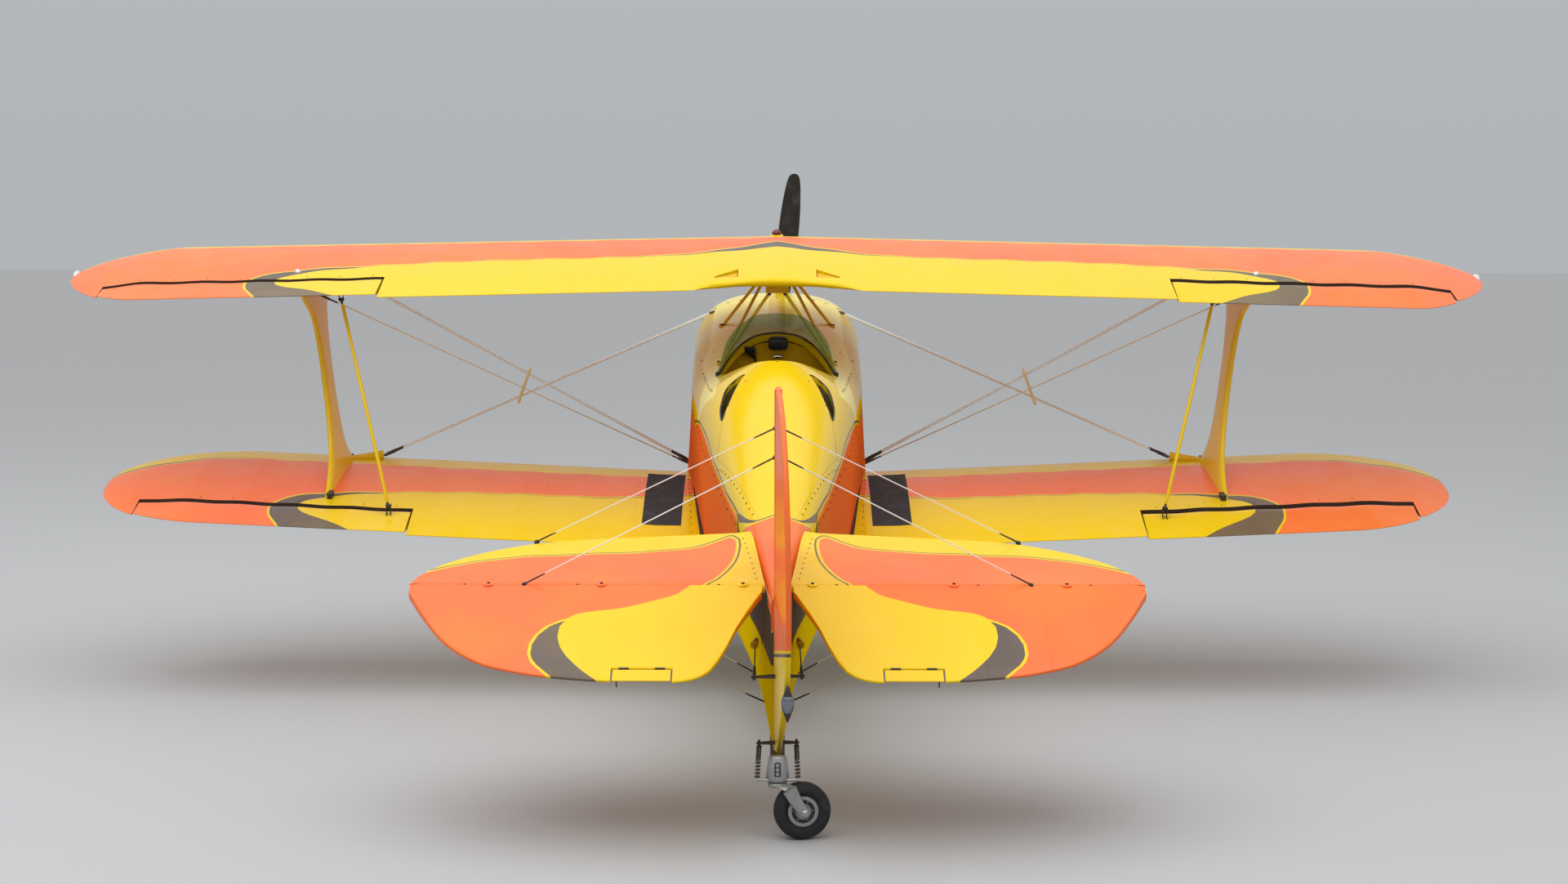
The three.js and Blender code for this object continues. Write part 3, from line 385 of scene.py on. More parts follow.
def settle(piece, body, slotName, *replaced):
    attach(piece, body)
    if replaced:
        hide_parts(*replaced)
    return piece


# Bars with an oval section through stations of (centre, width, thickness); width lies along chordAxis.
def barRings(stations, chordAxis, sides=16):
    first, last = Vector(stations[0][0]), Vector(stations[-1][0])
    run = (last - first).normalized()
    across = Vector(chordAxis)
    across = (across - run * across.dot(run)).normalized()
    through = run.cross(across)
    points = []
    for centre, width, thick in stations:
        for k in range(sides):
            angle = 2 * math.pi * (k + 0.5) / sides
            points.append(Vector(centre) + across * (width / 2 * math.cos(angle))
                          + through * (thick / 2 * math.sin(angle)))
    return points


# Several bars, boxes or turned shapes gathered into one mesh.
class Gather:
    def __init__(self):
        self.points, self.faces = [], []

    def add(self, points, faces):
        start = len(self.points)
        self.points += [tuple(p) for p in points]
        self.faces += [tuple(start + i for i in face) for face in faces]

    def loft(self, rings):
        self.add(*lofted(rings))

    def bar(self, stations, chordAxis=(0.13, 0.91, 0.4), sides=16):
        self.add(barRings(stations, chordAxis, sides), loftFaces(len(stations), sides))

    def rod(self, a, b, radius, sides=12, chordAxis=(0.13, 0.91, 0.4)):
        self.bar([(a, 2 * radius, 2 * radius), (b, 2 * radius, 2 * radius)], chordAxis, sides)

    def block(self, low, high):
        points = [(x, y, z) for x in (low[0], high[0]) for y in (low[1], high[1]) for z in (low[2], high[2])]
        self.add(points, [(0, 1, 3, 2), (4, 6, 7, 5), (0, 4, 5, 1), (2, 3, 7, 6), (0, 2, 6, 4), (1, 5, 7, 3)])

    # A profile of (radius, along) turned about an axis from a point.
    def turned(self, profile, centre, axis, segments=32):
        axis = Vector(axis).normalized()
        side = axis.orthogonal().normalized()
        other = axis.cross(side)
        points = []
        for radius, along in profile:
            for k in range(segments):
                angle = 2 * math.pi * k / segments
                points.append(Vector(centre) + axis * along
                              + (side * math.cos(angle) + other * math.sin(angle)) * radius)
        faces = loftFaces(len(profile), segments, profile[0] != profile[-1])
        self.add(points, faces)

    def piece(self, name, materials, **more):
        return addPiece(name, self.points, self.faces, materials, **more)


def cut(piece, *tools, operation="DIFFERENCE"):
    for tool in tools:
        modifier = piece.modifiers.new("cut", "BOOLEAN")
        modifier.operation = operation
        modifier.solver = "EXACT"
        modifier.object = tool
    bpy.context.view_layer.update()
    shaped = evaluatedMesh(piece)
    piece.modifiers.clear()
    old = piece.data
    piece.data = shaped
    bpy.data.meshes.remove(old)
    return piece


def rawPrism(outline, low, high):
    return rawPiece("prism", *lofted([[(x, y, z) for x, y in outline] for z in (low, high)]))


def rawBox(low, high):
    shape = Gather()
    shape.block(low, high)
    return rawPiece("box", shape.points, shape.faces)


def discard(*pieces):
    for piece in pieces:
        bpy.data.objects.remove(piece)


# Wings and ailerons

upper = dict(
    halfSpan=2643, chord=914, lead=0, root=0, sweep=6.8, dihedral=0, incidence=0,
    tipFront=(2270, 1.6, 0.43), tipRear=(2325, 1.5, 0.51),      # start, power and share of the chord
    aileronIn=1461, aileronOut=2464, ribs=dict(first=31, every=208, last=2530),
    front=[(0, 385), (100, 414), (285, 468), (450, 498), (700, 512)], noseBand=150, bandRise=240, tipLine=0,
    greyFront=[(0, 287), (139, 374), (285, 454), (450, 492), (700, 509)], shift=95, skew=-55,
)
lower = dict(
    halfSpan=2512, chord=914, lead=-472, root=-862, sweep=0, dihedral=2.7, incidence=0.7,
    tipFront=(1990, 1.9, 0.474), tipRear=(2078, 2, 0.466),
    aileronIn=1342, aileronOut=2334, ribs=dict(first=138, every=203, last=2375),
    front=[(150, 420), (330, 447), (420, 472), (525, 492), (700, 512)],
    noseBand=225, bandRise=200, tipLine=17,
    greyFront=[(150, 412), (330, 439), (420, 465), (525, 486), (700, 507)], shift=0, skew=-25,
)
wingForm = dict(
    thickness=0.125, camber=0.006, hinge=0.775, endGap=6, spar=12, nose=6, round=16, rest=3, sag=3.2,
    cutHalf=310, cutDepth=130, cutRoll=0.02, baySteps=6,
    handHold=[(147, -700), (147, -792), (232, -815), (236, -803)],
)
bullet = dict(
    start=700, apex=1755, base=512, hinge=712, back=[(1752, 748), (1722, 785), (1640, 842), (1555, 930)],
    grey=[(1480, 556), (1600, 575), (1690, 595), (1760, 620), (1815, 660), (1848, 708), (1853, 750),
          (1843, 810), (1820, 860), (1788, 930)],
    behind=1100, past=-900,                    # beyond the trailing edge, and past the centre line
)
shares = [
    1, 0.975, 0.95, 0.92, 0.89, 0.86, 0.83, 0.80, 0.775, 0.74, 0.70, 0.66, 0.62, 0.58, 0.54, 0.5, 0.46, 0.42,
    0.37, 0.32, 0.26, 0.2, 0.15, 0.105, 0.07, 0.042, 0.022, 0.009, 0.002,
]
hingeCount = shares.index(wingForm["hinge"])


def wingHeight(share, face):
    root = math.sqrt(share)
    half = 5 * wingForm["thickness"] * (0.2969 * root - 0.126 * share - 0.3516 * share ** 2
                                        + 0.2843 * share ** 3 - 0.1015 * share ** 4)
    return 4 * wingForm["camber"] * share * (1 - share) + face * half


def tipBend(wing, tip, x):
    start, power, _ = wing[tip]
    out = max(0.0, (x - start) / (wing["halfSpan"] - start))
    return 1 - max(0.0, 1 - out ** power) ** (1 / power)


# The leading edge as it would run without the rounded tip.
def leadingEdge(wing, x):
    return wing["lead"] - x * math.tan(math.radians(wing["sweep"]))


def planform(wing, x):
    edge = leadingEdge(wing, x)
    front = edge - tipBend(wing, "tipFront", x) * wing["chord"] * wing["tipFront"][2]
    rear = edge - wing["chord"] + tipBend(wing, "tipRear", x) * wing["chord"] * wing["tipRear"][2]
    return front, rear, 1 - 0.1 * tipBend(wing, "tipFront", x), edge


# How deep the cloth lies below the ribs at a station, as a share of the deepest.
def bayDip(wing, x):
    first, every, last = (wing["ribs"][name] for name in ("first", "every", "last"))
    return math.sin(math.pi * ((x - first) / every % 1)) ** 2 if first < x < last else 0.0


def surfacePoint(wing, x, side, share, face):
    front, rear, plump, edge = planform(wing, x)
    chord = front - rear
    y = front - share * chord
    cloth = min(1, max(0, (share - 0.11) / 0.12)) * min(1, (1 - share) / 0.08)
    height = wingHeight(share, face) * chord * plump - face * wingForm["sag"] * bayDip(wing, x) * cloth
    base = wing["root"] + x * math.tan(math.radians(wing["dihedral"]))
    return np.array((side * x, y, base + (y - edge) * math.tan(math.radians(wing["incidence"])) + height))


def wingRing(wing, x, side, rear=1.0):
    top, under = (
        [surfacePoint(wing, x, side, min(share, rear), face) for share in shares] for face in (1, -1))
    return top, under, surfacePoint(wing, x, side, 0, 0)


# The share of the local chord at a distance ahead of the hinge line.
def hingeShare(wing, x, ahead):
    front, rear, _, edge = planform(wing, x)
    return (front - edge + wingForm["hinge"] * wing["chord"] - ahead) / (front - rear)


def ringLine(top, under, nose, cutCount=0):
    for k in range(cutCount):                     # the points behind a cut stand evenly on its face
        middle, half = (top[cutCount] + under[cutCount]) / 2, (top[cutCount] - under[cutCount]) / 2
        top[k], under[k] = middle + half * k / cutCount, middle - half * k / cutCount
    return [*top, nose, *reversed(under)]


def hingePoint(wing, x, side):
    back = wingForm["hinge"] * wing["chord"]
    middle = wingHeight(wingForm["hinge"], 0) * wing["chord"]
    return Vector((
        side * x, leadingEdge(wing, x) - back,
        wing["root"] + x * math.tan(math.radians(wing["dihedral"]))
        - back * math.tan(math.radians(wing["incidence"])) + middle))


def spanStations(wing, start, end):
    stops = {start, end}
    rib = wing["ribs"]
    steps = wingForm["baySteps"]
    count = round((rib["last"] - rib["first"]) / rib["every"] * steps)
    stops.update(round(rib["first"] + k * rib["every"] / steps, 1) for k in range(count))
    bendStart = min(wing["tipFront"][0], wing["tipRear"][0])
    stops.update(round(bendStart + (wing["halfSpan"] - bendStart) * math.sin(k / 24 * math.pi / 2), 1)
                 for k in range(25))
    return sorted(x for x in stops if start <= x <= end)


# The centre cut-out of the upper wing: the share of the chord that is left at a station.
def cutOutShare(x):
    if x >= wingForm["cutHalf"]:
        return 1.0
    rear = upper["chord"] + wingForm["cutHalf"] * math.tan(math.radians(upper["sweep"]))
    depth = wingForm["cutDepth"] * math.cos(x / wingForm["cutHalf"] * math.pi / 2) ** 0.7
    return min(1.0, (rear - depth - x * math.tan(math.radians(upper["sweep"]))) / upper["chord"])


def halfWingRings(wing, side, start):
    inner, outer = wing["aileronIn"] - wingForm["endGap"], wing["aileronOut"] + wingForm["endGap"]
    rings = [(x, inner < x < outer) for x in spanStations(wing, start, wing["halfSpan"])]
    rings += [(inner, False), (inner, True), (outer, True), (outer, False)]
    rings.sort(key=lambda row: (row[0], row[1] != (row[0] == outer)))
    out = []
    for x, isCut in rings:
        top, under, nose = wingRing(wing, x, side)
        keep = cutOutShare(x) if wing is upper else 1.0
        if isCut:
            cutAt = hingeShare(wing, x, wingForm["spar"])
            top[hingeCount] = surfacePoint(wing, x, side, cutAt, 1)
            under[hingeCount] = surfacePoint(wing, x, side, cutAt, -1)
            out.append(ringLine(top, under, nose, hingeCount))
        elif keep < 1:
            out.append(cutOutRing(x, side, keep))
        else:
            out.append(ringLine(top, under, nose))
    return out


# The ring at the cut-out ends in a rolled edge.
def cutOutRing(x, side, keep):
    stop = keep - wingForm["cutRoll"]
    top, under, nose = wingRing(upper, x, side, stop)
    count = sum(share > stop for share in shares)
    a, b = np.array(top[count - 1]), np.array(under[count - 1])
    middle, half = (a + b) / 2, (a - b) / 2
    bulge = wingForm["cutRoll"] * upper["chord"]
    for k in range(count):
        angle = math.pi / 2 * k / max(1, count - 1)
        back = np.array((0, -bulge * math.cos(angle), 0))
        top[k] = tuple(middle + half * math.sin(angle) + back)
        under[k] = tuple(middle - half * math.sin(angle) + back)
    return [*top, nose, *reversed(under)]


# The front of the yellow zone from its start to the bullet's apex.
def bulletLine(wing):
    reach = bullet["apex"] + wing["shift"] - bullet["start"]
    parts = [math.sin(k / 24 * math.pi / 2) for k in range(1, 25)]
    rise = bullet["hinge"] - bullet["base"]
    return [(bullet["start"] + reach * t, bullet["base"] + rise * (1 - math.sqrt(max(0, 1 - t ** 2.5))))
            for t in parts]


def schemeOutlines(wing):
    shift, skew = wing["shift"], wing["skew"]
    inner = bulletLine(wing)
    lean = dict(zip((p[0] for p in bullet["back"]), (0, 0, 0.4, 1)))
    back = [(x + shift + skew * lean[x], d) for x, d in bullet["back"]]
    last = (wing["front"][0][0], bullet["behind"])
    yellow = [*wing["front"], *inner, *smoothLine([inner[-1], *back], 5)[1:], last]
    outer = smoothLine([(x + shift, d) for x, d in bullet["grey"]], 6)
    merge = [(x, d - 3) for x, d in inner if x < outer[0][0]]
    grey = [*wing["greyFront"], *merge, *outer, last]
    return np.array(yellow, float), np.array(grey, float)


# Points of a wing as distance out from the centre and back from the leading edge.
def wingPlan(wing, points):
    out = np.abs(points[:, 0])
    return np.stack([out, leadingEdge(wing, out) - points[:, 1]], 1)


def wingFields(wing):
    past, behind = bullet["past"], bullet["behind"]
    yellowLine, greyLine = (
        np.vstack([[(past, line[0, 1])], line, [(past, behind)]]) for line in schemeOutlines(wing))

    def noseBand(points):
        plan = wingPlan(wing, points)
        return wing["noseBand"] - plan[:, 1] + wing["bandRise"] * np.clip(
            (plan[:, 0] - wing["tipFront"][0]) / (wing["halfSpan"] - wing["tipFront"][0]), 0, 1) ** 2

    def yellowField(points):
        return np.maximum(insideField(wingPlan(wing, points), yellowLine), noseBand(points))

    def greyField(points):
        plan = wingPlan(wing, points)
        tip = np.clip((plan[:, 0] - wing["tipFront"][0] + 100) / 500, 0, 1) * wing["tipLine"]
        return np.maximum(insideField(plan, greyLine), noseBand(points) + tip - 0.1)

    def ribField(points):
        first, every = wing["ribs"]["first"], wing["ribs"]["every"]
        return np.abs((np.abs(points[:, 0]) - first + every / 2) % every - every / 2)

    return dict(yellowField=yellowField, greyField=greyField, ribField=ribField, glareField=noGlare)


# No painted sky reflection on this surface.
def noGlare(points):
    return np.full(len(points), -100.0)


# Faces on the cut ahead of the ailerons are dark: painted shade in the aileron gap.
def onSpar(wing):
    def test(centre):
        x = abs(centre[0])
        y = leadingEdge(wing, x) - wingForm["hinge"] * wing["chord"]
        inside = wing["aileronIn"] - wingForm["endGap"] - 1 < x < wing["aileronOut"] + wingForm["endGap"] + 1
        return inside and centre[1] < y + wingForm["spar"] + 1
    return test


def makeUpperWing():
    rings = [*reversed(halfWingRings(upper, -1, 0)), *halfWingRings(upper, 1, 0)[1:]]
    wing = rawPiece("upperWing", *lofted(rings))
    slots = []
    for side in (1, -1):
        outline = [(side * x, y) for x, y in wingForm["handHold"]]
        slots.append(rawPrism(outline, -200, 200))
    cut(wing, *slots)
    discard(*slots)
    dress(wing, [schemeCloth, sealAndGapShade], wingFields(upper), sharp=32, other=onSpar(upper))
    return settle(wing, "airframe", "wing_cover", "upper_wing")


def makeLowerWing(word, side):
    wing = rawPiece("lowerWing" + word, *lofted(halfWingRings(lower, side, 200)))
    body = bodySolid("body", fuselage["firewall"], -2000, 1.0, 60)
    cut(wing, body)
    discard(body)
    dress(wing, [schemeCloth, sealAndGapShade], wingFields(lower), sharp=32, other=onSpar(lower))
    return settle(wing, "airframe", "wing_cover", "lower_wing_" + word.lower())


def aileronPose(wing, side):
    inner = hingePoint(wing, wing["aileronIn"], side)
    axis = (hingePoint(wing, wing["aileronOut"], side) - inner) * side
    return turnedAbout(inner, side * wingForm["rest"], axis.normalized())


# Its nose is round, with painted shade where it turns down into the gap.
def makeAileron(wing, level, word, side):
    rings = []
    back = wingForm["nose"] + wingForm["round"]
    for x in spanStations(wing, wing["aileronIn"], wing["aileronOut"]):
        start = hingeShare(wing, x, -back)
        run = [1 - (1 - start) * k / hingeCount for k in range(hingeCount + 1)]
        top, under = ([surfacePoint(wing, x, side, share, face) for share in run] for face in (1, -1))
        middle, half = (top[-1] + under[-1]) / 2, (top[-1] - under[-1]) / 2
        arc = [middle + half * math.cos(t * math.pi / 10)
               + np.array((0, wingForm["round"] * math.sin(t * math.pi / 10), 0)) for t in range(1, 10)]
        rings.append([*top, *arc, *reversed(under)])
    aileron = rawPiece(f"aileron{level}{word}", *lofted(rings))
    line = wingForm["hinge"] * wing["chord"] + wingForm["nose"] + wingForm["round"] * 0.45

    def onNose(centre):
        out = abs(centre[0])
        ends = out < wing["aileronIn"] + 0.1 or out > wing["aileronOut"] - 0.1
        return not ends and centre[1] > leadingEdge(wing, out) - line

    pose = aileronPose(wing, side)
    dress(aileron, [schemeCloth, sealAndGapShade], wingFields(wing), pose=pose, sharp=32, other=onNose)
    name = f"aileron_{level.lower()}_{word.lower()}"
    return settle(aileron, name, "wing_cover", name)


sides = (("Right", 1), ("Left", -1))


# Fuselage shells

fuselage = dict(
    firewall=100, post=-3310, panel=-505, skin=22, floor=-897, front=40, rear=-1640,
    wide=900, above=300, rim=-470, deckEdge=-488, under=-440, seam=0.7, flatBelow=-452,
    keel=dict(z=-880, rise=0.13, start=-1300),
    # Rows of y, bottom z, bottom half width, longeron z, longeron half width, crown z, roundness and dip
    stations=[
        (100, -930, 345, -500, 335, -242, 2.9, 0), (-300, -950, 355, -500, 333, -255, 2.8, 0),
        (-500, -955, 355, -497, 329, -265, 2.6, 28), (-650, -956, 337, -493, 325, -255, 2.3, 56),
        (-800, -957, 318, -490, 315, -245, 2.3, 62), (-1000, -957, 295, -486, 298, -229, 2.2, 44),
        (-1150, -957, 278, -483, 285, -217, 2.2, 22), (-1450, -950, 240, -478, 255, -238, 2.1, 0),
        (-2180, -916, 134, -462, 165, -318, 2, 0), (-2680, -895, 66, -450, 88, -385, 2, 0),
        (-3000, -882, 36, -444, 50, -402, 2, 0), (-3310, -869, 15, -438, 20, -411, 2, 0)],
    topYellow=[(0, 400), (330, 400), (330, -700), (300, -960), (217, -1745), (165, -2155), (124, -2410),
               (98, -2520), (74, -2583), (50, -2604), (24, -2600), (0, -2590)],
    # The glare outlines mark painted sky reflection on the deck beside the centre band and along the cockpit
    # sides.
    glare=[(33, 400), (250, 400), (262, -400), (290, -560), (262, -760), (300, -1100), (226, -1240),
          (214, -900), (215, -700), (140, -520), (33, -480)],
    opening=[(0, -500), (83, -508), (134, -560), (165, -605), (191, -665), (205, -740), (208, -806),
             (200, -838), (166, -889), (129, -973), (87, -1090), (47, -1135), (0, -1150)],
    hump=[(0, -1162), (62, -1166), (122, -1256), (144, -1345), (165, -1451), (180, -1517), (192, -1590),
          (206, -1800), (60, -2590)],
    crescent=[(118, -1246), (157, -1259), (184, -1306), (197, -1409), (200, -1475), (193, -1572),
              (180, -1517), (165, -1451), (144, -1345)],
)


def station(y, rows=None):
    rows = rows or fuselage["stations"]
    y = min(max(y, rows[-1][0]), rows[0][0])
    i = next(k for k in range(1, len(rows)) if rows[k][0] <= y)
    a, b = np.array(rows[i - 1], float), np.array(rows[i], float)
    before = np.array(rows[max(i - 2, 0)], float)
    after = np.array(rows[min(i + 1, len(rows) - 1)], float)
    t = (a[0] - y) / (a[0] - b[0])
    if i < 2 or i > len(rows) - 2:
        return a + (b - a) * t
    startSlope = (b - before) / (b[0] - before[0])
    endSlope = (after - a) / (after[0] - a[0])
    long = b[0] - a[0]
    return ((2 * t ** 3 - 3 * t ** 2 + 1) * a + (t ** 3 - 2 * t ** 2 + t) * long * startSlope
            + (3 * t ** 2 - 2 * t ** 3) * b + (t ** 3 - t ** 2) * long * endSlope)


def deckHeight(share, row):
    _, _, _, side, _, top, roundness, dip = row
    share = min(1, share)
    dome = (1 - share ** roundness) ** (1 / roundness)
    return side + dome * (top - side) - dip * math.sin(math.pi * share ** 1.6)


def deckZ(x, y):
    row = station(y)
    return deckHeight(abs(x) / row[4], row)


def bodyRing(y, grow=0.0, rows=None):
    row = station(y, rows)
    _, bottom, bottomHalf, side, sideHalf, top, _, _ = row
    corner = min(30, bottomHalf * 0.5)
    half = [(0, bottom - grow), (bottomHalf - corner, bottom - grow)]
    for k in (1, 2, 3):
        angle = math.pi / 2 * k / 4
        half.append((bottomHalf - corner + (corner + grow) * math.sin(angle),
                     bottom + corner - (corner + grow) * math.cos(angle)))
    half += [(bottomHalf + grow, bottom + corner)]
    for k in range(1, 14):
        t = k / 14
        x = bottomHalf + (sideHalf - bottomHalf) * t + grow
        half.append((x, bottom + corner + (side - bottom - corner) * t))
    half.append((sideHalf + grow, side))
    grown = row.copy()
    grown[5] += grow
    for k in range(1, 26):
        share = math.cos(k / 26 * math.pi / 2) ** 0.85
        half.append((share * (sideHalf + grow), deckHeight(share, grown)))
    ring = [*half, (0, top + grow), *((-x, z) for x, z in reversed(half[1:]))]
    return [(x, y, z) for x, z in ring]


def bodySolid(name, start, end, grow=0.0, every=30, rows=None, lip=0.0):
    count = max(2, round(abs(start - end) / every))
    rings = [bodyRing(start + (end - start) * k / count, grow, rows) for k in range(count + 1)]
    if lip:                                        # the front edge turns in
        turns = [k / 6 * math.pi / 2 for k in range(6)]
        edge = [bodyRing(start - lip + lip * math.cos(a), grow - lip + lip * math.sin(a), rows)
                for a in turns]
        rings = edge + [ring for ring in rings if ring[0][1] < start - lip]
    return rawPiece(name, *lofted(rings))


def bothSides(half):
    return [*half, *((-x, y) for x, y in reversed(half) if x > 0)]


def fuselageFields():
    rearLine = map(tuple, smoothLine(fuselage["topYellow"][6:], 5))
    outline = np.array(bothSides([*fuselage["topYellow"][1:6], *rearLine]))
    keel = fuselage["keel"]
    edges = np.array(fuselage["topYellow"][9:0:-1], float)
    glare = [np.array([(side * x, y) for x, y in fuselage["glare"]]) for side in (1, -1)]

    def yellowField(points):
        rows = np.array([station(y) for y in points[:, 1]])
        side, wide = rows[:, 3], rows[:, 4]
        edgeX = np.minimum(np.interp(points[:, 1], edges[:, 1], edges[:, 0]), wide * 0.999)
        drop = np.interp(points[:, 1], [-1500, -900], [0, 38])
        edgeZ = np.array([deckHeight(x / row[4], row) for x, row in zip(edgeX, rows)]) - drop
        away = np.hypot(np.abs(points[:, 0]) - edgeX, points[:, 2] - edgeZ)
        top = np.where(points[:, 2] > edgeZ, away, -away)
        top = np.where(points[:, 1] < -2400, insideField(points, outline), top)
        belly = keel["z"] + keel["rise"] * (keel["start"] - points[:, 1]).clip(0) - points[:, 2]
        low = (points[:, 2] - rows[:, 1]).clip(0) / (side - rows[:, 1])
        shell = rows[:, 2] + (wide - rows[:, 2]) * np.minimum(low, 1) - np.abs(points[:, 0])
        deck = np.array([deckHeight(abs(x) / row[4], row) for x, row in zip(points[:, 0], rows)])
        room = np.where(points[:, 2] < side, shell, deck - points[:, 2]) - 14       # the cockpit's inside
        inside = np.where((points[:, 1] > -1700) & (room > 0), 60, -400)
        return np.maximum(np.maximum(top, belly), inside)

    def greyField(points):                          # painted shade: the sides below the stabiliser are painted dark grey
        low = points[:, 2] - keel["z"] - keel["rise"] * (keel["start"] - points[:, 1])
        stabShade = np.minimum(np.minimum(low, fuselage["under"] - points[:, 2]), -2560 - points[:, 1])
        stabShade = np.where(stabShade > 0, 20, -900)
        return np.maximum(yellowField(points) + np.where(points[:, 2] > -620, 8, 4), stabShade)

    # Painted sky reflection on the deck, inside the glare outlines.
    def glareField(points):
        return np.maximum(*(insideField(points, line) for line in glare))

    return dict(yellowField=yellowField, greyField=greyField, glareField=glareField)


# The sides are seen almost edge on from behind, where any gloss would only mirror the floor.
def flatSide(centre):
    return centre[2] < fuselage["flatBelow"]


def makeFuselage():
    wide, above, deckEdge, under, seam = (
        fuselage[name] for name in ("wide", "above", "deckEdge", "under", "seam"))
    panel = fuselage["panel"] + 1
    whole = bodySolid("fuselageTub", fuselage["firewall"], fuselage["post"])
    room = bodySolid("room", fuselage["front"], fuselage["rear"], -fuselage["skin"], 60)
    aboveFloor = rawBox((-wide, fuselage["rear"] - 10, fuselage["floor"]),
                        (wide, fuselage["front"] + 10, above))
    cut(room, aboveFloor, operation="INTERSECT")
    openingLine = [tuple(p) for p in smoothLine(bothSides(fuselage["opening"]), 4, closed=True)]
    opening = rawPrism(openingLine, fuselage["rim"], above)
    crescents = [rawPrism([(side * x, y) for x, y in fuselage["crescent"]], under, above)
                 for side in (1, -1)]
    deckBox = rawBox((-wide, panel, deckEdge), (wide, wide, above))
    humpLine = bothSides(fuselage["hump"])
    hump = rawPrism(humpLine, under, above)
    deck, fairing = whole.copy(), whole.copy()
    deck.data, fairing.data = whole.data.copy(), whole.data.copy()
    for piece in (deck, fairing):
        scene.collection.objects.link(piece)
    deckGap = rawBox((-wide, panel - seam, deckEdge - seam), (wide, wide, above))
    cut(whole, room, opening, *crescents, deckGap, hump)
    cut(deck, room, opening)
    cut(deck, deckBox, operation="INTERSECT")
    slim = rawPrism([(x - math.copysign(seam, x), y - seam) for x, y in humpLine], under + 0.5, above)
    cut(fairing, room, opening)
    cut(fairing, slim, operation="INTERSECT")
    discard(room, aboveFloor, opening, *crescents, deckBox, hump, deckGap, slim)
    deck.name, fairing.name = "forwardDeck", "headrestFairing"
    for piece, node in ((whole, "fuselage"), (deck, "forward_deck"), (fairing, "turtledeck")):
        dress(piece, [schemePaint, schemeFlat], fuselageFields(), sharp=30, other=flatSide)
        settle(piece, "airframe", "body_orange" if node == "fuselage" else "body_yellow", node)


makeFuselage()
print("fuselage made")

makeUpperWing()
for word, side in sides:
    makeLowerWing(word, side)
    makeAileron(upper, "Upper", word, side)
    makeAileron(lower, "Lower", word, side)
print("wings made")


# Tail surfaces

tail = dict(
    z=-424, hinge=-3217, tube=13, droop=13.5, spar=5, half=14, ribs=[330, 560, 740, 900], line=6,
    front=[(8, -2660), (104, -2676), (380, -2722), (620, -2762), (740, -2800), (880, -2890), (985, -3000),
           (1045, -3110), (1066, -3190)],
    rear=[(46, 24), (116, 210), (155, 345), (200, 440), (286, 478), (462, 474), (620, 455), (724, 430),
          (831, 384), (932, 287), (1010, 150), (1064, 30)],
    rootY=(-3215, -2700, -2660), rootX=(36, 76, 84), shear=(8, 128),    # beside the deck, not over it
    tabIn=290, tabOut=460, tabFront=413, tabRear=470, tabGap=5,
    orangeFront=[(136, -2707), (250, -2838), (400, -2882), (560, -2905), (764, -2935), (900, -2990),
                 (1010, -3066), (1090, -3160)],
    orangeRoot=[(136, -2707), (126, -2800), (139, -2975), (192, -3150), (264, -3247)],
    elevatorEdge=[(264, 30), (333, 70), (448, 120), (585, 157), (660, 205), (696, 290), (692, 370),
                  (660, 420), (600, 500)],
    greyEdge=[(264, 22), (333, 60), (448, 108), (560, 136), (606, 175), (620, 240), (600, 330), (540, 425),
              (470, 500)],
)


def tailStations(first, last, inner=()):
    stops = set(inner) | {first, last}
    x = first
    while x < last - 60:
        stops.add(round(x, 1))
        x += 24
    for k in range(10):
        stops.add(round(last - 80 + 80 * math.sin(k / 9 * math.pi / 2), 1))
    return sorted(stops)


def tailDip(x):
    ribs = [60, *tail["ribs"], 1080]
    i = next((k for k in range(1, len(ribs)) if x < ribs[k]), len(ribs) - 1)
    return math.sin(math.pi * (x - ribs[i - 1]) / (ribs[i] - ribs[i - 1])) ** 2 * 2.2


def flatRing(x, front, rear, half, side, rearHalf=None):
    rearHalf = half if rearHalf is None else rearHalf
    chord = max(front - rear, 1)
    dip = tailDip(x) * min(1, chord / 200)
    top = []
    for k in range(6):
        angle = k / 5 * math.pi / 2
        top.append((front - half * (1 - math.sin(angle)) * 0.9, half * math.sin(angle)))
    for k in range(1, 9):
        t = k / 9
        y = front - half + (rear - front + half) * t
        top.append((y, half + (rearHalf - half) * t - dip * math.sin(math.pi * t) ** 0.6))
    for k in range(5):
        angle = k / 4 * math.pi / 2
        top.append((rear + rearHalf * (1 - math.sin(angle)) * 0.9, rearHalf * math.cos(angle)))
    under = [(y, -z) for y, z in reversed(top[1:-1])]
    return [(side * x, y, z) for y, z in [*top, *under]]


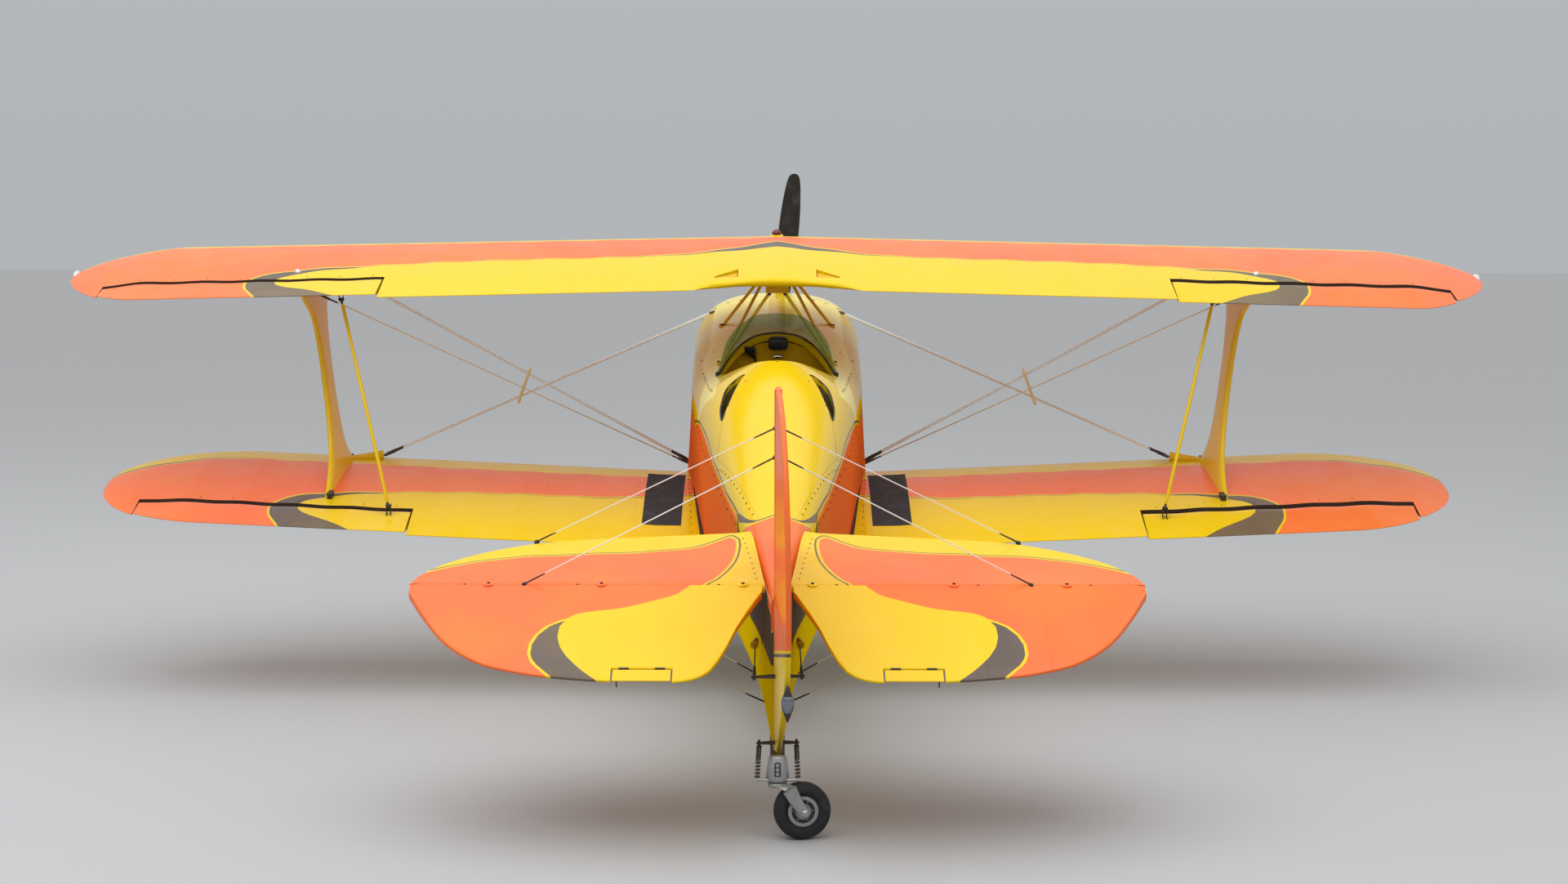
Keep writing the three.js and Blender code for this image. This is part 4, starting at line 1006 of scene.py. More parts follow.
def tailFields():
    front = smoothLine(tail["orangeFront"], 6)
    root = smoothLine(tail["orangeRoot"], 6)
    elevatorLine = smoothLine(tail["elevatorEdge"], 6)
    greyLine = smoothLine(tail["greyEdge"], 6)
    orangeStab = np.vstack([front, [(1300, -3300)], [(300, -3300)], root[::-1]])
    orangeElevator = np.vstack([elevatorLine, [(600, 900), (1400, 900), (1400, -60), (240, -60)]])
    greyElevator = np.vstack([greyLine, [(470, 900), (1400, 900), (1400, -60), (240, -60)]])

    def plan(points):
        return np.stack([np.abs(points[:, 0]), points[:, 1]], 1)

    def stabYellow(points):
        return -insideField(plan(points), orangeStab) - finish["stripe"] - tail["line"]

    def stabGrey(points):
        return -insideField(plan(points), orangeStab) - finish["stripe"]

    def aft(points):
        return np.stack([np.abs(points[:, 0]), tail["hinge"] - points[:, 1]], 1)

    def elevatorYellow(points):
        return -insideField(aft(points), greyElevator)

    def elevatorGrey(points):
        return -insideField(aft(points), orangeElevator) - finish["stripe"]

    def ribField(points):
        out = np.abs(points[:, 0])
        return np.min([np.abs(out - rib) for rib in tail["ribs"]], 0)

    return (dict(yellowField=stabYellow, greyField=stabGrey, ribField=ribField, glareField=noGlare),
            dict(yellowField=elevatorYellow, greyField=elevatorGrey, ribField=ribField, glareField=noGlare))


def makeStabiliser(word, side):
    rear = tail["hinge"] + tail["tube"] + tail["spar"]
    front = smoothLine(tail["front"], 8)
    start, end = tail["shear"]
    rings = []
    for x in tailStations(8, 1066):
        lead = float(np.interp(x, front[:, 0], front[:, 1]))
        ring = []
        for px, y, z in flatRing(x, lead, rear, tail["half"], side):
            root = float(np.interp(y, tail["rootY"], tail["rootX"]))
            inner = root + (abs(px) - start) * (end - root) / (end - start) if abs(px) < end else abs(px)
            ring.append((side * inner, y, z + tail["z"]))
        rings.append(ring)
    shape = rawPiece("stabiliser" + word, *lofted(rings))
    dress(shape, schemeCloth, tailFields()[0], sharp=32)
    return settle(shape, "airframe", "tail_cover", "stabiliser_" + word.lower())


def elevatorPose():
    return turnedAbout(Vector((0, tail["hinge"], tail["z"])), tail["droop"], "X")


def makeElevator(word, side):
    rear = smoothLine(tail["rear"], 8)
    order = np.argsort(rear[:, 0])
    tabIn, tabOut, half = tail["tabIn"], tail["tabOut"], tail["tube"]
    rings = []
    stops = [(x, tabIn < x < tabOut) for x in tailStations(46, 1064)]
    stops += [(tabIn, False), (tabIn, True), (tabOut, True), (tabOut, False)]
    stops.sort(key=lambda row: (row[0], row[1] != (row[0] == tabOut)))
    for x, isCut in stops:
        long = float(np.interp(x, rear[order, 0], rear[order, 1]))
        if isCut:
            long = tail["tabFront"]
        thin = max(0.25, 1 - 0.72 * long / 480)
        ring = flatRing(x, tail["hinge"] + half, tail["hinge"] - long, half, side, half * thin)
        rings.append([(px, y, z + tail["z"]) for px, y, z in ring])
    elevator = addPiece("elevator" + word, *lofted(rings), schemeCloth, fields=tailFields()[1],
                        pose=elevatorPose(), sharp=32)
    return settle(elevator, "elevators", "tail_cover", "elevator_" + word.lower())


def makeTab(word, side):
    inner, outer = tail["tabIn"] + tail["tabGap"], tail["tabOut"] - tail["tabGap"]
    front, rear = tail["hinge"] - tail["tabFront"] - tail["tabGap"], tail["hinge"] - tail["tabRear"]
    rings = []
    for x in (inner, (inner + outer) / 2, outer):
        ring = [(front, 2), (front - 2, 4), ((front + rear) / 2, 3.5), (rear, 1.5), (rear, -1.5),
                ((front + rear) / 2, -3.5), (front - 2, -4), (front, -2)]
        rings.append([(side * x, y, z + tail["z"]) for y, z in ring])
    piece = addPiece("trimTab" + word, *lofted(rings), yellowPaint, pose=elevatorPose())
    return settle(piece, "trim_tab_" + word.lower(), "body_yellow", "trim_tab_" + word.lower())


upright = dict(
    fin=[(-2760, -402), (-2870, -250), (-3010, -40), (-3100, 90), (-3170, 155), (-3240, 190), (-3310, 203)],
    finFoot=[(-3310, -440), (-2760, -440)], rudderFoot=[(-3520, -740), (-3380, -862), (-3330, -868)],
    finHalf=9, rudderHinge=-3330, rudderRest=3.5, rudderHalf=8, rudderTube=11, rudderTop=205, rudderLow=-868,
    rudder=[(-3330, 205), (-3400, 200), (-3490, 175), (-3580, 125), (-3660, 50), (-3730, -60), (-3775, -180),
            (-3790, -300), (-3785, -400), (-3765, -480), (-3735, -530)],
)


# A plate standing along the centre line with a round edge.
def plate(name, outline, half, bevel=6):
    curve = bpy.data.curves.new(name, "CURVE")
    curve.dimensions = "2D"
    curve.fill_mode = "BOTH"
    line = curve.splines.new("POLY")
    line.points.add(len(outline) - 1)
    for point, (y, z) in zip(line.points, outline):
        point.co = (y, z, 0, 1)
    line.use_cyclic_u = True
    curve.extrude = half - bevel
    curve.bevel_depth = bevel
    curve.offset = -bevel
    curve.bevel_resolution = 3
    flat = addObject(name, curve)
    mesh = evaluatedMesh(flat)
    discard(flat)
    mesh.transform(Matrix(((0, 0, 1, 0), (1, 0, 0, 0), (0, 1, 0, 0), (0, 0, 0, 1))))
    cleanMesh(mesh)
    return addObject(name, mesh)


def rudderPose():
    return turnedAbout(Vector((0, upright["rudderHinge"], 0)), upright["rudderRest"], "Z")


def makeFin():
    outline = [tuple(p) for p in smoothLine(upright["fin"], 5)] + upright["finFoot"]
    fin = plate("fin", outline, upright["finHalf"])
    notch = rawBox((-60, tail["hinge"] - 20, tail["z"] - 60), (60, tail["hinge"] + 20, tail["z"] + 22))
    cut(fin, notch)
    discard(notch)
    dress(fin, orangePaint, sharp=40)
    return settle(fin, "airframe", "tail_cover", "fin")


def makeRudder():
    outline = [tuple(p) for p in smoothLine(upright["rudder"], 5)] + upright["rudderFoot"]
    rudder = plate("rudder", outline, upright["rudderHalf"])
    hinge = upright["rudderHinge"]
    tube = Gather()
    tube.rod((0, hinge, upright["rudderLow"]), (0, hinge, upright["rudderTop"]), upright["rudderTube"], 20,
             (0, 1, 0))
    tubePiece = rawPiece("tube", tube.points, tube.faces)
    cut(rudder, tubePiece, operation="UNION")
    discard(tubePiece)
    low = dict(yellowField=lambda p: -585 - 0.35 * (p[:, 1] - hinge) - p[:, 2],
               greyField=lambda p: -575 - 0.35 * (p[:, 1] - hinge) - p[:, 2], glareField=noGlare)
    dress(rudder, schemePaint, low, pose=rudderPose(), sharp=40)
    return settle(rudder, "rudder", "tail_cover", "rudder")


for word, side in sides:
    makeStabiliser(word, side)
    makeElevator(word, side)
    makeTab(word, side)
makeFin()
makeRudder()
print("tail made")


# Struts and wires

strut = dict(
    lowX=1652, highX=1765, front=0.131, rear=0.685, thick=38, toe=14, low=34, high=30, rows=40,
    shape=[(-0.04, 1.06), (0, 1), (0.06, 0.74), (0.16, 0.46), (0.32, 0.31), (0.5, 0.28), (0.68, 0.33),
           (0.84, 0.56), (0.94, 1.0), (1, 1.2), (1.04, 1.26)],
)
slave = dict(lowX=1418, highX=1606, aft=50, above=52, below=42, radius=7.6)
wire = dict(
    radius=2.6, twin=26, root=(362, -150, -862), landing=(262, 60, -296), foot=(1515, -600, -722),
    topX=1704, frontTop=-57, rearTop=-43, dark=75,
)


def between(a, b, share):
    return Vector(a) + (Vector(b) - Vector(a)) * share


def mirrored(point, side):
    return Vector((side * point[0], point[1], point[2]))


def makeInterplaneStrut(word, side):
    middle = (strut["front"] + strut["rear"]) / 2
    ends = []
    for wing, x, lift in ((lower, strut["lowX"], strut["low"]), (upper, strut["highX"], -strut["high"])):
        y = leadingEdge(wing, x) - middle * wing["chord"]
        ends.append(Vector((side * x, y, float(surfacePoint(wing, x, side, middle, 0)[2]) + lift)))
    table = smoothLine(strut["shape"], 6)
    rings = []
    for k in range(strut["rows"] + 1):
        share = strut["shape"][0][0] + (strut["shape"][-1][0] - strut["shape"][0][0]) * k / strut["rows"]
        width = float(np.interp(share, table[:, 0], table[:, 1]))
        x, y, z = between(*ends, share)
        half = width * (strut["rear"] - strut["front"]) * upper["chord"] / 2
        toe = side * strut["toe"] * (1 - share) * width
        ring = []
        for t in range(32):
            angle = 2 * math.pi * (t + 0.5) / 32
            along, across = math.cos(angle), math.sin(angle)
            edge = 0.72 + 0.28 * abs(along) ** 3                  # a flat side between two rounded tubes
            thin = strut["thick"] / 2 * math.copysign(abs(across) ** 0.7, across) * edge
            ring.append((x - toe * along + thin, y + half * along, z))
        rings.append(ring)
    shape = Gather()
    shape.loft(rings)
    shape.bar([((side * (strut["lowX"] - 6), -622, -729), 16, 12), ((side * 1580, -610, -726), 26, 13),
               ((side * 1524, -600, -722), 34, 14)], (0, 0.25, 1))
    piece = shape.piece("interplaneStrut" + word, litStrutYellow, sharp=40)
    settle(piece, "airframe", "body_yellow", "interplane_strut_" + word.lower())
    feet = Gather()                                # steel feet, bolt heads, and the top lugs
    rearFoot = surfacePoint(lower, strut["lowX"], side, strut["rear"] - 0.012, 1)
    feet.block(rearFoot + (-9, -26, -2), rearFoot + (9, 26, 18))
    feet.rod(rearFoot + (-13, -10, 12), rearFoot + (13, -10, 12), 6, 12)
    frontFoot = surfacePoint(lower, strut["lowX"], side, strut["front"] + 0.01, 1)
    feet.block(frontFoot + (-9, -26, -2), frontFoot + (9, 26, 9))
    for share in (strut["front"] + 0.02, strut["rear"] - 0.02):
        top = surfacePoint(upper, strut["highX"], side, share, -1)
        feet.block(top + (-15, -24, -14), top + (15, 24, 3))
    steel = feet.piece("strutFeet" + word, darkSteel)
    return settle(steel, "airframe", "steel")


def slaveEnds(side):
    low, high = hingePoint(lower, slave["lowX"], side), hingePoint(upper, slave["highX"], side)
    return low + Vector((0, -slave["aft"], slave["above"])), high - Vector((0, slave["aft"], slave["below"]))


def makeSlaveStrut(word, side):
    low, high = slaveEnds(side)
    radius = slave["radius"]
    tube = Gather()
    widths = [(0.02, 0.5), (0.036, 1), (0.964, 1), (0.98, 0.5)]
    tube.bar([(between(low, high, t), 2.4 * radius * w, 1.7 * radius * w) for t, w in widths], (0, 1, 0), 20)
    settle(tube.piece("slaveStrut" + word, litStrutYellow), "slave_strut_" + word.lower(), "body_yellow",
           "slave_strut_" + word.lower())
    eyes = Gather()
    for point, t in ((low, 0.02), (high, 0.98)):
        eyes.rod(point, between(low, high, t), 4, 10)
        eyes.turned([(3, -5), (8, -5), (8, 5), (3, 5), (3, -5)], point, (1, 0, 0), 20)
    settle(eyes.piece("slaveEyes" + word, darkSteel), "slave_strut_" + word.lower(), "steel")
    for level, wing, point, rise in (("Lower", lower, low, -1), ("Upper", upper, high, 1)):
        horn = Gather()
        for offset in (-7.5, 7.5):
            at = point + Vector((offset, 0, 0))
            horn.bar([(at - Vector((0, 0, 7 * rise)), 16, 2.6), (at + Vector((0, 0, 24 * rise)), 24, 2.6),
                      (at + Vector((0, 0, 42 * rise)), 44, 2.6)], (0, 1, 0), 14)
        horn.rod(point - Vector((11, 0, 0)), point + Vector((11, 0, 0)), 3, 12)
        name = f"aileron_{level.lower()}_{word.lower()}"
        settle(horn.piece(f"hornPlates{level}{word}", darkSteel, pose=aileronPose(wing, side)), name, "steel")


def strutTop(side, share, z):
    y = leadingEdge(upper, strut["highX"]) - share * upper["chord"]
    return Vector((side * wire["topX"], y, z))


def makeWires(word, side):
    root, landing, foot = (mirrored(wire[name], side) for name in ("root", "landing", "foot"))
    rearRoot = root - Vector((0, 44, 0))
    frontTop, rearTop = (strutTop(side, strut[name], wire[name + "Top"]) for name in ("front", "rear"))
    sleeve = ((0, 9), (0.55, 9), (0.6, 6.4), (1, 6.4))
    runs = (
        ("flyingWires", root, frontTop, wire["twin"], "flying_wires_"),
        ("rearFlyingWire", rearRoot, rearTop, 0, "flying_wire_rear_"),
        ("landingWires", foot, landing, wire["twin"], "landing_wires_"))
    for name, a, b, spread, node in runs:
        lines, ends = Gather(), Gather()
        run = (b - a).normalized()
        for offset in ([-spread / 2, spread / 2] if spread else [0]):
            shift = Vector((0, offset, 0))
            lines.bar([(a + shift + run * 20, 2 * wire["radius"], 2 * wire["radius"]),
                       (b + shift - run * 20, 2 * wire["radius"], 2 * wire["radius"])], sides=10)
            for point, way in ((a + shift, run), (b + shift, -run))[:1 if name == "landingWires" else 2]:
                ends.bar([(point + way * wire["dark"] * t, size, size) for t, size in sleeve], (0, 1, 0), 8)
        for point, way in ((a, run), (b, -run)):
            ends.bar([(point - way * 8, spread + 18, 7), (point + way * 10, spread + 14, 7)], (0, 1, 0), 12)
        settle(lines.piece(name + word, skyTintWire), "airframe", "steel", node + word.lower())
        settle(ends.piece(name + "Ends" + word, darkSteel), "airframe", "steel")
    javelin = Gather()                             # the stick that holds the crossing wires apart
    front, back = Vector((side * 985, -193, -469)), Vector((side * 985, -738, -484))
    javelin.bar([(between(front, back, t), 15 * w, 11 * w) for t, w in
                 ((0, 0.3), (0.03, 0.8), (0.1, 1), (0.9, 1), (0.97, 0.8), (1, 0.3))], (0, 0, 1), 16)
    settle(javelin.piece("wireSpacer" + word, yellowPaint), "airframe", "body_yellow")


for word, side in sides:
    makeInterplaneStrut(word, side)
    makeSlaveStrut(word, side)
    makeWires(word, side)
print("struts and wires made")


# Cabane struts and windscreen

cabane = dict(
    front=(218, -262), rear=(219, -610), frontTop=-120, rearTop=-610, width=19, thick=13,
)


def makeCabane():
    tubes, fittings, steel = Gather(), Gather(), Gather()
    for side in (1, -1):
        front, rear = (Vector((side * x, y, deckZ(x, y) - 2)) for x, y in (cabane["front"], cabane["rear"]))
        tops = [(front, Vector((side * 18, cabane["frontTop"], -58))),
                (rear, Vector((side * 14, cabane["rearTop"], -56))),
                (rear, Vector((side * 20, cabane["frontTop"] - 24, -56)))]
        for foot, top in tops:
            tubes.bar([(between(foot, top, t), cabane["width"] * w, cabane["thick"] * w) for t, w in
                       ((0, 0.85), (0.05, 1), (0.95, 1), (1, 0.85))], (0, 1, 0), 18)
        for foot in (front, rear):
            fittings.bar([(foot - Vector((0, 0, 10)), 50, 28), (foot + Vector((0, 0, 4)), 42, 24),
                          (foot + Vector((0, 0, 7)), 30, 18)], (0, 1, 0), 20)
            steel.rod(foot + Vector((-10, -4, 9)), foot + Vector((10, -4, 9)), 2.5, 12)
    for y, half in ((cabane["frontTop"] - 8, 42), (cabane["rearTop"], 34)):
        fittings.block((-44, y - half, -72), (44, y + half, -46))
        for x in (-30, 30):
            for lean in (-half + 12, half - 12):
                steel.turned([(0, -82), (7, -82), (7, -70), (0, -70)], (x, y + lean, 0), (0, 0, 1), 6)
    settle(tubes.piece("cabaneStruts", litStrutYellow), "airframe", "body_yellow", "cabane_struts")
    settle(fittings.piece("cabaneFittings", shadedYellow, sharp=30), "airframe", "body_yellow")
    settle(steel.piece("cabaneBolts", darkSteel), "airframe", "steel")


screen = dict(
    thick=3.5, steps=4, rubber=5,
    rows=[                                         # base x, y, then the middle and the upper edge as x, y, z
        (0, -478, 0, -575, -207, 0, -640, -153), (80, -486, 80, -580, -222, 81, -642, -160),
        (126, -524, 126, -622, -245, 126, -664, -183), (158, -568, 156, -632, -292, 152, -674, -201),
        (184, -624, 186, -668, -316, 187, -696, -246), (203, -692, 204, -706, -328, 204, -718, -286),
        (213, -745, 214, -750, -346, 215, -752, -326), (221, -792, 222, -792, -353, 222, -790, -350)],
)


def screenLines():
    rows = smoothLine(screen["rows"], screen["steps"])
    out = []
    for side, part in ((-1, rows[:0:-1]), (1, rows)):
        for bx, by, mx, my, mz, ex, ey, ez in part:
            corners = [(side * bx, by, deckZ(bx, by) + 1), (side * mx, my, mz), (side * ex, ey, ez)]
            line = smoothLine(corners, 5)
            around = Vector((side * bx * 0.9, by + 760, 130)).normalized()
            out.append((line, np.array(around)))
    return out


def makeWindscreen():
    shape, trim = Gather(), Gather()
    lines = screenLines()
    rings = [[*line, *(line[::-1] + around * screen["thick"])] for line, around in lines]
    shape.loft(rings)
    settle(shape.piece("windscreen", greenTint, sharp=50), "airframe", "green_tint", "windscreen")
    count = len(lines)
    stations = []
    for i, (line, around) in enumerate(lines):
        far = abs(2 * i / (count - 1) - 1)
        size = screen["rubber"] * (0.8 + 4.2 * max(0, far - 0.5) ** 1.2)
        stations.append((line[0] + around * 1.5, around, size))
    up = Vector((0, 0, 1))
    for centre, around, size in stations:
        for k in range(10):
            angle = 2 * math.pi * k / 10
            out = Vector(around) * size * math.cos(angle)
            trim.points.append(tuple(Vector(centre) + out + up * size * 0.8 * math.sin(angle)))
    trim.faces = loftFaces(count, 10)
    settle(trim.piece("windscreenSeal", blackRubber), "airframe", "grip")


makeCabane()
makeWindscreen()
print("cabane and windscreen made")


# Nose: cowling, propeller and spinner

cowl = dict(
    front=600, wall=9, lip=16, intake=(142, -590, 56, 62), propHole=60, outlet=(120, 110, 190),
    stations=[
        (636, -795, 185, -592, 212, -392, 2.2, 0), (600, -838, 258, -580, 274, -350, 2.3, 0),
        (510, -885, 312, -550, 311, -311, 2.6, 0), (300, -915, 338, -520, 330, -267, 2.8, 0),
        (100, -930, 345, -500, 335, -242, 2.9, 0)],
)
prop = dict(
    lean=5.5, hub=62, depth=90,                # the blade: radius, chord, thickness and pitch
    blade=[(40, 62, 46, 64), (170, 82, 30, 58), (300, 98, 19, 42), (450, 104, 13, 31), (600, 92, 9, 24),
           (710, 70, 6, 20), (760, 48, 5, 19), (775, 20, 4, 19)],
)
spinner = dict(radius=160, tip=930, rear=655, wall=3, notch=(48, 64, 90))


# A cylinder through a point, for cutting. Its height is scaled by squash.
def rawRound(radius, start, end, centre, axis, segments=48, squash=1.0):
    shape = Gather()
    shape.turned([(radius, start), (radius, end)], centre, axis, segments)
    piece = rawPiece("turned", shape.points, shape.faces)
    piece.data.transform(Matrix.Translation(Vector(centre)) @ Matrix.Diagonal((1, 1, squash, 1))
                         @ Matrix.Translation(-Vector(centre)))
    return piece


def makeCowling():
    rows = cowl["stations"]
    shell = bodySolid("cowling", cowl["front"], fuselage["firewall"] + 0.4, 0, 20, rows, cowl["lip"])
    room = bodySolid("room", cowl["front"] - 25, 60, -cowl["wall"], 60, rows)
    x, z, wide, high = cowl["intake"]
    holes = [rawRound(wide, -300, 300, (side * x, thrustLine["y"], z), (0, 1, 0), 40, high / wide)
             for side in (1, -1)]
    middle = rawRound(cowl["propHole"], -300, 300, (0, thrustLine["y"], thrustLine["z"]), (0, 1, 0), 40)
    half, low, high = cowl["outlet"]
    outlet = rawBox((-half, low, -1000), (half, high, -880))
    cut(shell, room, *holes, middle, outlet)
    discard(room, *holes, middle, outlet)
    dress(shell, schemePaint, fuselageFields(), sharp=35)
    settle(shell, "airframe", "body_yellow", "cowling")


def nosePlace():
    centre = Matrix.Translation((0, thrustLine["y"], thrustLine["z"]))
    return centre @ Matrix.Rotation(math.radians(prop["lean"]), 4, "Y")


def makePropeller():
    table = smoothLine(prop["blade"], 6)
    shape = Gather()
    for side in (1, -1):
        rings = []
        for radius, chord, thick, pitch in table:
            c, s = math.cos(math.radians(pitch)), math.sin(math.radians(pitch))
            ring = []
            for k in range(24):
                angle = 2 * math.pi * k / 24
                along, out = chord / 2 * math.cos(angle), thick / 2 * math.sin(angle)
                ring.append((side * (along * c - out * s), along * s + out * c, side * radius))
            rings.append(ring)
        shape.loft(rings)
    hub, depth = prop["hub"], prop["depth"] / 2
    front = [(hub, depth - 6), (hub - 6, depth), (0, depth)]
    shape.turned([*((r, -along) for r, along in reversed(front)), *front], (0, 0, 0), (0, 1, 0), 40)
    shape.turned([(0, -150), (34, -150), (34, -40), (0, -40)], (0, 0, 0), (0, 1, 0), 28)
    piece = shape.piece("propeller", propellerBlack, pose=nosePlace())
    settle(piece, "propeller", "propeller_black", "propeller")


def makeSpinner():
    long, wall = spinner["tip"] - spinner["rear"], spinner["wall"]
    steps = [0, 0.1, 0.2, 0.3, 0.4, 0.5, 0.6, 0.7, 0.78, 0.85, 0.91, 0.955, 0.985, 0.998]
    start = spinner["rear"] - thrustLine["y"]
    outer = [(spinner["radius"] * (1 - t ** 2.1) ** 0.62, start + t * long) for t in steps]
    inner = [((spinner["radius"] - wall) * (1 - t ** 2.1) ** 0.62, start + wall + t * (long - wall * 3))
             for t in steps]
    edge = prop["hub"] + 2
    profile = [(edge, start), *outer, (0, start + long), (0, start + long - wall * 2), *inner[::-1],
               (edge, start + wall), (edge, start)]
    shape = Gather()
    shape.turned(profile, (0, 0, 0), (0, 1, 0), 56)
    shell = rawPiece("spinner", shape.points, shape.faces)
    x, y, z = spinner["notch"]
    notches = [rawBox((-x, -y, low), (x, y, high)) for low, high in ((z, 400), (-400, -z))]
    cut(shell, *notches)
    discard(*notches)
    dress(shell, yellowPaint, pose=nosePlace(), sharp=40)
    settle(shell, "propeller", "body_yellow", "spinner")


makeCowling()
makePropeller()
makeSpinner()
print("nose made")


# Landing gear and wheels

mainWheel = dict(track=760, y=-250, z=-1410, radius=180, width=126, rim=76, bore=20, segments=80)
tailWheel = dict(
    y=-3620, z=-938, radius=80, width=60, rim=44, bore=10, trail=70, swivel=100, crown=70, segments=56)
gear = dict(
    leg=[(300, -235, -900, 660, 30), (352, -238, -985, 560, 30), (630, -250, -1384, 150, 34),
         (676, -250, -1410, 96, 46)],
    block=(0, -250, -1170), trussTops=(-70, -430), trussRadius=12, springRadius=15,
    nose=400, rear=-560, width=212, height=354, clear=14, cut=-92, slope=0.25,
    pant=[(1, 0.05, 0.05, 0), (0.96, 0.26, 0.27, 0), (0.8, 0.6, 0.6, 5), (0.5, 0.9, 0.88, 14),
          (0.1, 1, 1, 22), (-0.25, 0.97, 0.95, 28), (-0.6, 0.66, 0.66, 34), (-0.88, 0.26, 0.32, 40),
          (-1, 0.05, 0.08, 42)],
)


def makeWheel(name, tyreNode, hubNode, body, wheel, place):
    radius, rim, half, segments = wheel["radius"], wheel["rim"], wheel["width"] / 2, wheel["segments"]
    groove = radius * 0.018
    side = smoothLine([(rim, half * 0.72), (rim + 6, half * 0.85), (radius * 0.72, half),
                       (radius * 0.9, half * 0.9), (radius * 0.975, half * 0.62), (radius, half * 0.34)], 4)
    ribs = []
    for x in (0.24, 0.0):
        ribs += [(radius, half * (x + 0.05)), (radius - groove, half * (x + 0.03)),
                 (radius - groove, half * (x - 0.03)), (radius, half * (x - 0.05))]
    ribs += [(r, -x) for r, x in reversed(ribs[:4])]
    profile = [*map(tuple, side), *ribs, *((r, -x) for r, x in side[::-1]), (rim, half * 0.72)]
    tyre = Gather()
    tyre.turned(profile, (0, 0, 0), (1, 0, 0), segments)
    settle(tyre.piece(name + "Tyre", tyreRubber, place=levelFrame @ place), body, "tyre_rubber", tyreNode)
    hub = Gather()
    face, bore = wheel["width"] * 0.34, wheel["bore"]
    line = [(bore, -face * 0.9), (bore + 12, -face * 0.9), (bore + 17, -face * 0.4), (rim - 15, -face * 0.3),
            (rim - 11, -face), (rim - 3, -face * 1.06), (rim - 0.5, -face)]
    line = [*line, *((r, -x) for r, x in reversed(line)), line[0]]
    hub.turned(line, (0, 0, 0), (1, 0, 0), segments)
    bolt = [(0, 0), (rim * 0.07, 0), (rim * 0.07, rim * 0.09), (0, rim * 0.09)]
    ring = (bore + rim) / 2
    for k in range(6):
        angle = math.pi * k / 3
        for end in (1, -1):
            at = (end * face * 0.28, ring * math.cos(angle), ring * math.sin(angle))
            hub.turned(bolt, at, (end, 0, 0), 6)
    settle(hub.piece(name + "Hub", casting, place=levelFrame @ place), body, "casting", hubNode)


def makeGear(word, side):
    stations = smoothLine([(side * x, y, z, w, t) for x, y, z, w, t in gear["leg"]], 8)
    leg = Gather()
    leg.bar([((x, y, z), w, t) for x, y, z, w, t in stations], (0, 1, 0), 28)
    y, z, track = mainWheel["y"], mainWheel["z"], mainWheel["track"]
    leg.rod((side * (track - 130), y, z), (side * (track + 48), y, z), 19, 28)
    settle(leg.piece("gearLeg" + word, yellowPaint), "airframe", "body_yellow", "gear_leg_" + word.lower())
    rings = []
    for along, wide, high, lift in smoothLine(gear["pant"], 6):
        rings.append([(side * track + wide * gear["width"] / 2 * math.cos(a),
                       y + (along * gear["nose"] if along > 0 else -along * gear["rear"]),
                       z + lift + high * gear["height"] / 2 * math.sin(a))
                      for a in (2 * math.pi * k / 44 for k in range(44))])
    pant = rawPiece("wheelPant" + word, *lofted(rings))
    radius, half = mainWheel["radius"] + gear["clear"], mainWheel["width"] / 2 + gear["clear"]
    bay = rawRound(radius, -half, half, (side * track, y, z), (1, 0, 0), 60)
    slot = rawBox((side * track - half, y - radius, z - 400), (side * track + half, y + radius, z))
    under = rawBox((side * track - 300, y - 900, z - 400), (side * track + 300, y + 900, z + gear["cut"]))
    hole = rawRound(24, -200, 0, (side * track, y, z), (side, 0, 0), 24)
    cut(pant, bay, slot, under, hole)
    discard(bay, slot, under, hole)
    fields = dict(yellowField=lambda p: p[:, 2] - z + 30 - gear["slope"] * (p[:, 1] - y),
                  greyField=lambda p: p[:, 2] - z + 42 - gear["slope"] * (p[:, 1] - y), glareField=noGlare)
    dress(pant, schemePaint, fields, sharp=35)
    settle(pant, "airframe", "body_yellow", "wheel_pant_" + word.lower())
    place = Matrix.Translation((side * track, y, z))
    tyreNode, hubNode, body = (f"main_{part}_{word.lower()}" for part in ("tyre", "hub", "wheel"))
    makeWheel("main" + word, tyreNode, hubNode, body, mainWheel, place)


def makeTruss():
    truss = Gather()
    x, y, z = gear["block"]
    truss.bar([((x, y, z - 36), 110, 140), ((x, y, z + 36), 110, 140)], (0, 1, 0), 28)
    for side in (1, -1):
        for top in gear["trussTops"]:
            truss.rod((side * 150, top, -925), (side * 30, y, z + 10), gear["trussRadius"], 18)
        truss.rod((side * 40, y, z), (side * 600, y, z - 205), gear["springRadius"], 18)
    settle(truss.piece("gearTruss", darkSteel), "airframe", "steel", "gear_truss")


makeTruss()
for word, side in sides:
    makeGear(word, side)
print("landing gear made")


# Tailwheel: upright on the floor under its leaf spring

standing = Matrix.Translation((0, tailWheel["y"], tailWheel["z"])) @ Matrix.Rotation(-attitude, 4, "X")
swivelled = standing @ Matrix.Rotation(math.radians(tailWheel["swivel"]), 4, "Z")


